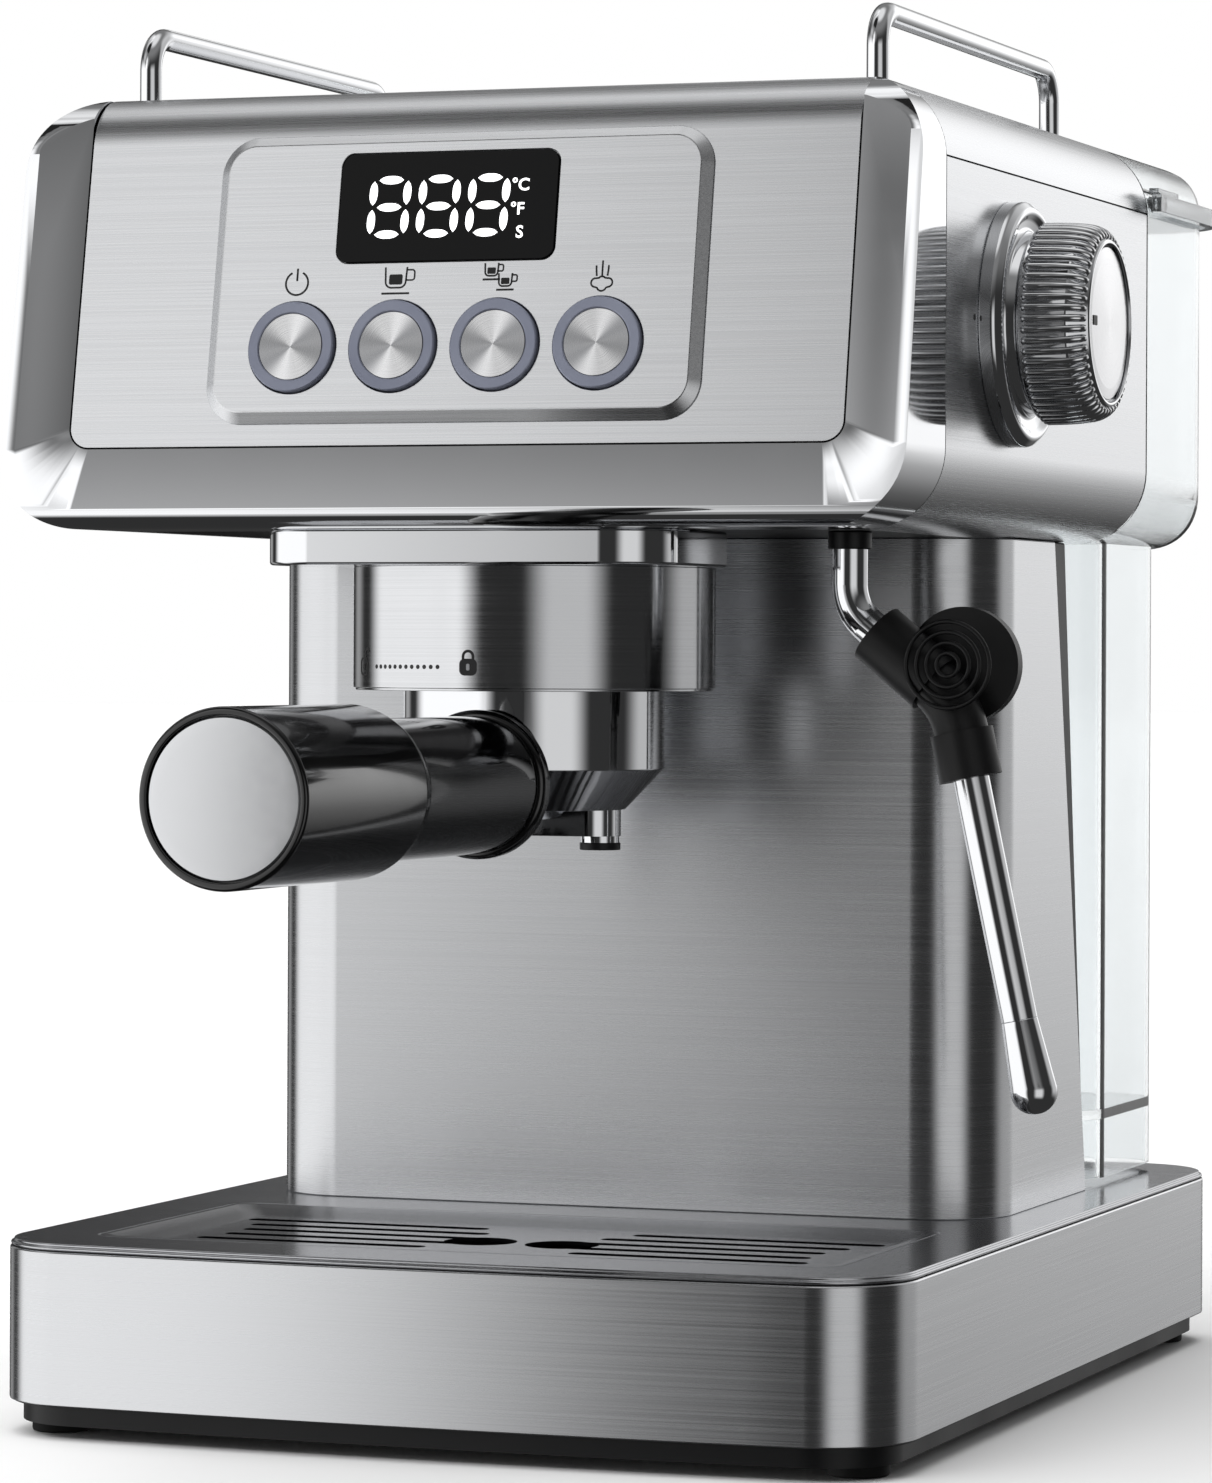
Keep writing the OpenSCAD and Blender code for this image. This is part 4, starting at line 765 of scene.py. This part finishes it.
lockMesh = bmesh.new()
drawLock(lockMesh, onCollar(0.0), False)
drawLock(lockMesh, onCollar(lockRow["open"]), True)
printed("lockMarks", lockMesh, printInk, "machine")
keyHole = bmesh.new()
addPlate(keyHole, boxPoints(0, lockRow["rise"], 0.8, 1.5, 0.3), onCollar(0.0), 0.0, 0.12)
printed("lockKeyhole", keyHole, steelDull, "machine")
dotTree, dotIn = nodeTree("scaleDotTree", {"dots": 1, "seat": 1.0, "rise": 1.0, "step": 1.0, "start": 1.0,
                                           "dotRound": 1.0, "dotDeep": 1.0})
dot = addNode(dotTree, "GeometryNodeMeshCylinder",
              {"Vertices": 16, "Radius": dotIn["dotRound"], "Depth": dotIn["dotDeep"]}, fill_type="NGON")
dotSpot = addNode(dotTree, "ShaderNodeCombineXYZ", {"X": dotIn["seat"], "Z": dotIn["rise"]})
outward = (0, math.pi / 2, 0)
dotSeat = addNode(dotTree, "GeometryNodeTransform",
                  {"Geometry": dot.outputs[0], "Translation": dotSpot.outputs[0], "Rotation": outward})
dots = spunCopies(dotTree, dotSeat.outputs[0], dotIn["dots"], dotIn["step"], dotIn["start"])
closeTree(dotTree, dots, dotIn["finish"])
dotStep = (lockRow["last"] - lockRow["first"]) / (lockRow["dots"] - 1)
dotSizes = {"dots": lockRow["dots"], "seat": (collarR - lockRow["dotSeat"]) * mm, "rise": lockRow["rise"] * mm,
            "step": math.radians(dotStep), "start": math.radians(lockRow["first"] - 90),
            "dotRound": lockRow["dotRound"] * mm, "dotDeep": 0.3 * mm}
grown("scaleDots", dotTree, dotSizes, printInk, groupPlace, "machine")

# the filter holder's handle: a stepped grip with a flange at the holder and a steel cap at its end
handle = {"neckEnd": 103.0, "stepEnd": 111.0, "neckIn": 3.2, "stepRound": 7, "rimRound": 0.9, "capGap": 0.25,
          "flangeFold": 1.2, "crown": 0.35, "segments": 160}  # mm; the first two from the group's axis
gripLo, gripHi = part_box("handle_grip")
flangeLo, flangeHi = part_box("handle_flange")
capLo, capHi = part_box("handle_cap")
thickR = (gripHi.x - gripLo.x) / 2 / mm
neckR = thickR - handle["neckIn"]
flangeR = (flangeHi.x - flangeLo.x) / 2 / mm
capR = (capHi.x - capLo.x) / 2 / mm


def out(y):  # distance along the handle from the group's axis, in mm
    return (groupAxis.y - y) / mm


def handlePiece(name, profile, material, node):  # a turned piece that stands for one node of the handle
    bm = lathe(profile, handlePlace, handle["segments"])
    return newPiece(name, bm, material, "filter_holder", (node,))


seat = capR + handle["capGap"]
gripStart, gripEnd = out(gripHi.y), out(gripLo.y)
c0, c1 = out(capHi.y), out(capLo.y)
gripProfile = filleted([(0, gripStart), (neckR, gripStart), (neckR, handle["neckEnd"]),
                        (thickR, handle["stepEnd"]), (thickR, gripEnd), (seat, gripEnd), (seat, c0), (0, c0)],
                       [0, 0.6, handle["stepRound"], handle["stepRound"], handle["rimRound"], 0.3, 0.1, 0], 8)
handlePiece("handleGrip", gripProfile, glossPlastic, "handle_grip")
fold = handle["flangeFold"]
flangeStart, flangeEnd = out(flangeHi.y), out(flangeLo.y)
flangeProfile = filleted([(0, flangeStart), (flangeR - fold, flangeStart), (flangeR, flangeStart + fold),
                          (flangeR, flangeEnd), (0, flangeEnd)], [0, 0.8, 0.8, 1.4, 0], 5)
handlePiece("handleFlange", flangeProfile, glossPlastic, "handle_flange")
crown = handle["crown"]
capProfile = [(0, c0), (capR, c0), (capR, c1 - crown - 0.35), (capR - 0.35, c1 - crown)] + [
    (capR * t / 12, c1 - crown * (t / 12) ** 2) for t in range(11, 0, -1)] + [(0, c1)]
handlePiece("handleCap", capProfile, capSteel, "handle_cap")

# small dark marks: one on the knob's face, one on the head's side
marks = {"faceOut": 12.2, "faceLong": 3.0, "faceWide": 2.2, "corner": 0.3,
         "sideGap": 2.4, "sideRound": 0.75}  # mm


def onKnob(x, y, n):  # a point of the knob's face: x forward, y up from the mark, n out
    return knobPlace @ Vector((x * mm, (y - marks["faceOut"]) * mm, n * mm))


def onHeadSide(x, y, n):  # a point of the head's side, just in front of the dial ring
    return Vector((plateLo.x + n * mm, plateLo.y - marks["sideGap"] * mm + y * mm,
                   knobPlace.translation.z + x * mm))


markMesh = bmesh.new()
addPlate(markMesh, boxPoints(0, 0, marks["faceWide"], marks["faceLong"], marks["corner"]), onKnob,
         f1 - 0.4, f1 - 0.09)
printed("knobMark", markMesh, printInk, "steam_knob")
sideMesh = bmesh.new()
addPlate(sideMesh, arcPoints(0, 0, marks["sideRound"], 0, 345, 23), onHeadSide, -0.1, 0.08)
printed("sideIndexDot", sideMesh, printInk, "machine")

# rings on the wand's thumb tab
tab = {"ridges": 4, "inner": 2.6, "pitch": 2.35, "round": 0.5, "tabRound": 13.0}  # mm
gripBoxLo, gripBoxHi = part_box("wand_grip")
tabCentre = Vector((gripBoxHi.x - tab["tabRound"] * mm, gripBoxLo.y, gripBoxHi.z - tab["tabRound"] * mm))
tabTree, tabIn = nodeTree("tabRidgeTree", {"ridges": 1, "inner": 1.0, "pitch": 1.0, "round": 1.0})
ridgeArc = addNode(tabTree, "GeometryNodeCurveArc", {"Resolution": 40, "Radius": 1.0, "Start Angle": 0.0,
                   "Sweep Angle": 2 * math.pi})
ridgePoints = addNode(tabTree, "GeometryNodePoints", {"Count": tabIn["ridges"]})
ridgeIndex = addNode(tabTree, "GeometryNodeInputIndex").outputs[0]
ridgeScale = maths(tabTree, "MULTIPLY_ADD", ridgeIndex, tabIn["pitch"], tabIn["inner"])
ridgeCopies = addNode(tabTree, "GeometryNodeInstanceOnPoints", {"Points": ridgePoints.outputs[0],
                      "Instance": ridgeArc.outputs[0], "Scale": ridgeScale})
ridgeReal = addNode(tabTree, "GeometryNodeRealizeInstances", {"Geometry": ridgeCopies.outputs[0]})
ridgeRound = addNode(tabTree, "GeometryNodeCurvePrimitiveCircle", {"Resolution": 12, "Radius": tabIn["round"]})
ridgeMesh = addNode(tabTree, "GeometryNodeCurveToMesh", {"Curve": ridgeReal.outputs[0],
                    "Profile Curve": ridgeRound.outputs[0], "Fill Caps": True})
closeTree(tabTree, ridgeMesh.outputs[0], tabIn["finish"])
tabTurn = math.radians(118)
tabPlace = (Matrix.Translation(tabCentre) @ Matrix.Rotation(math.pi / 2, 4, "X") @
            Matrix.Rotation(tabTurn, 4, "Z"))
tabSizes = {"ridges": tab["ridges"], "inner": tab["inner"] * mm, "pitch": tab["pitch"] * mm,
            "round": tab["round"] * mm}
grown("tabRidges", tabTree, tabSizes, silicone, tabPlace, "wand", 60)
print("detail pieces made")

finishes = {  # for each CAD node copied as it is: its material and edge softening in mm
    "base_pan": (blackPlastic, 0.5),
    "base_skirt": (steelUpright, 0.35),
    "deck_plate": (shadedDeckSteel, 0.5),
    "feet": (rubber, 0.5),
    "base_screws": (steelDull, 0.2),
    "drip_tray": (trayPlastic, 0.6),
    "drip_grille": (shadedDeckSteel, 0.35),
    "column_shell": (steelUpright, 0.3),
    "column_back": (blackPlastic, 0.5),
    "cord_gland": (rubber, 0.5),
    "head_shell": (steelAlongY, 0.3),
    "head_frame": (blackPlastic, 0.3),
    "top_cover": (steelAlongY, 0.4),
    "front_bezel": (chrome, 0.3),
    "front_panel": (steelAlongX, 0.3),
    "control_frame": (steelAlongX, 0.3),
    "display_window": (glassBlack, 0.2),
    "display_board": (boardGreen, 0.2),
    "power_button": (ringPlastic, 0.5),
    "single_button": (ringPlastic, 0.5),
    "double_button": (ringPlastic, 0.5),
    "steam_button": (ringPlastic, 0.5),
    "knob_shaft": (steelDull, 0.3),
    "steam_valve": (brass, 0.4),
    "mount_plate": (chrome, 0.6),
    "group_collar": (turnedSteel, 0.4),
    "group_gasket": (gasketRubber, 0.3),
    "shower_screen": (steelDull, 0.0),
    "screen_screw": (steelDull, 0.3),
    "thermoblock": (castAluminium, 0.6),
    "holder_body": (chrome, 0.4),
    "filter_basket": (turnedSteel, 0.0),
    "basket_spring": (steelDull, 0.0),
    "spout": (chrome, 0.5),
    "nozzles": (blackPlastic, 0.2),
    "wand_nut": (blackPlastic, 0.3),
    "wand_tube": (chrome, 0.0),
    "wand_grip": (silicone, 0.2),
    "wand_tip": (chrome, 0.2),
    "rail_left": (chrome, 0.0),
    "rail_right": (chrome, 0.0),
    "tank": (clearTank, 0.3),
    "tank_lid": (clearTank, 0.4),
    "tank_bail": (smokyBail, 0.3),
    "tank_valve": (blackPlastic, 0.3),
    "valve_seat": (blackPlastic, 0.3),
    "pump": (pumpPaint, 0.5),
    "pump_mounts": (rubber, 0.5),
    "hoses": (siliconeHose, 0.0),
    "power_board": (boardGreen, 0.2),
}
copies = {node: finished(node, material, bevel) for node, (material, bevel) in finishes.items()}
grille = copies["drip_grille"]
grille.data.materials.append(slotShadeMetal)
grilleLo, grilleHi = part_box("drip_grille")
outerWall = 2.5 * mm  # the grille's own rim keeps its steel
for face in grille.data.polygons:  # the punched walls of the slots and finger holes, which take the painted shade
    edgeGap = min(face.center.x - grilleLo.x, grilleHi.x - face.center.x,
                  face.center.y - grilleLo.y, grilleHi.y - face.center.y)
    if abs(face.normal.z) < 0.5 and edgeGap > outerWall:
        face.material_index = 1
for key in ("power", "single", "double", "steam"):
    middle = centreOf(key + "_disc")
    disc = spunMetal("spunDisc" + key.capitalize(), middle, "#8a8b8e", "#f4f4f5", 0.26, 0.9, 0.9)
    finished(key + "_disc", disc, 0.1)
print("pieces finished")
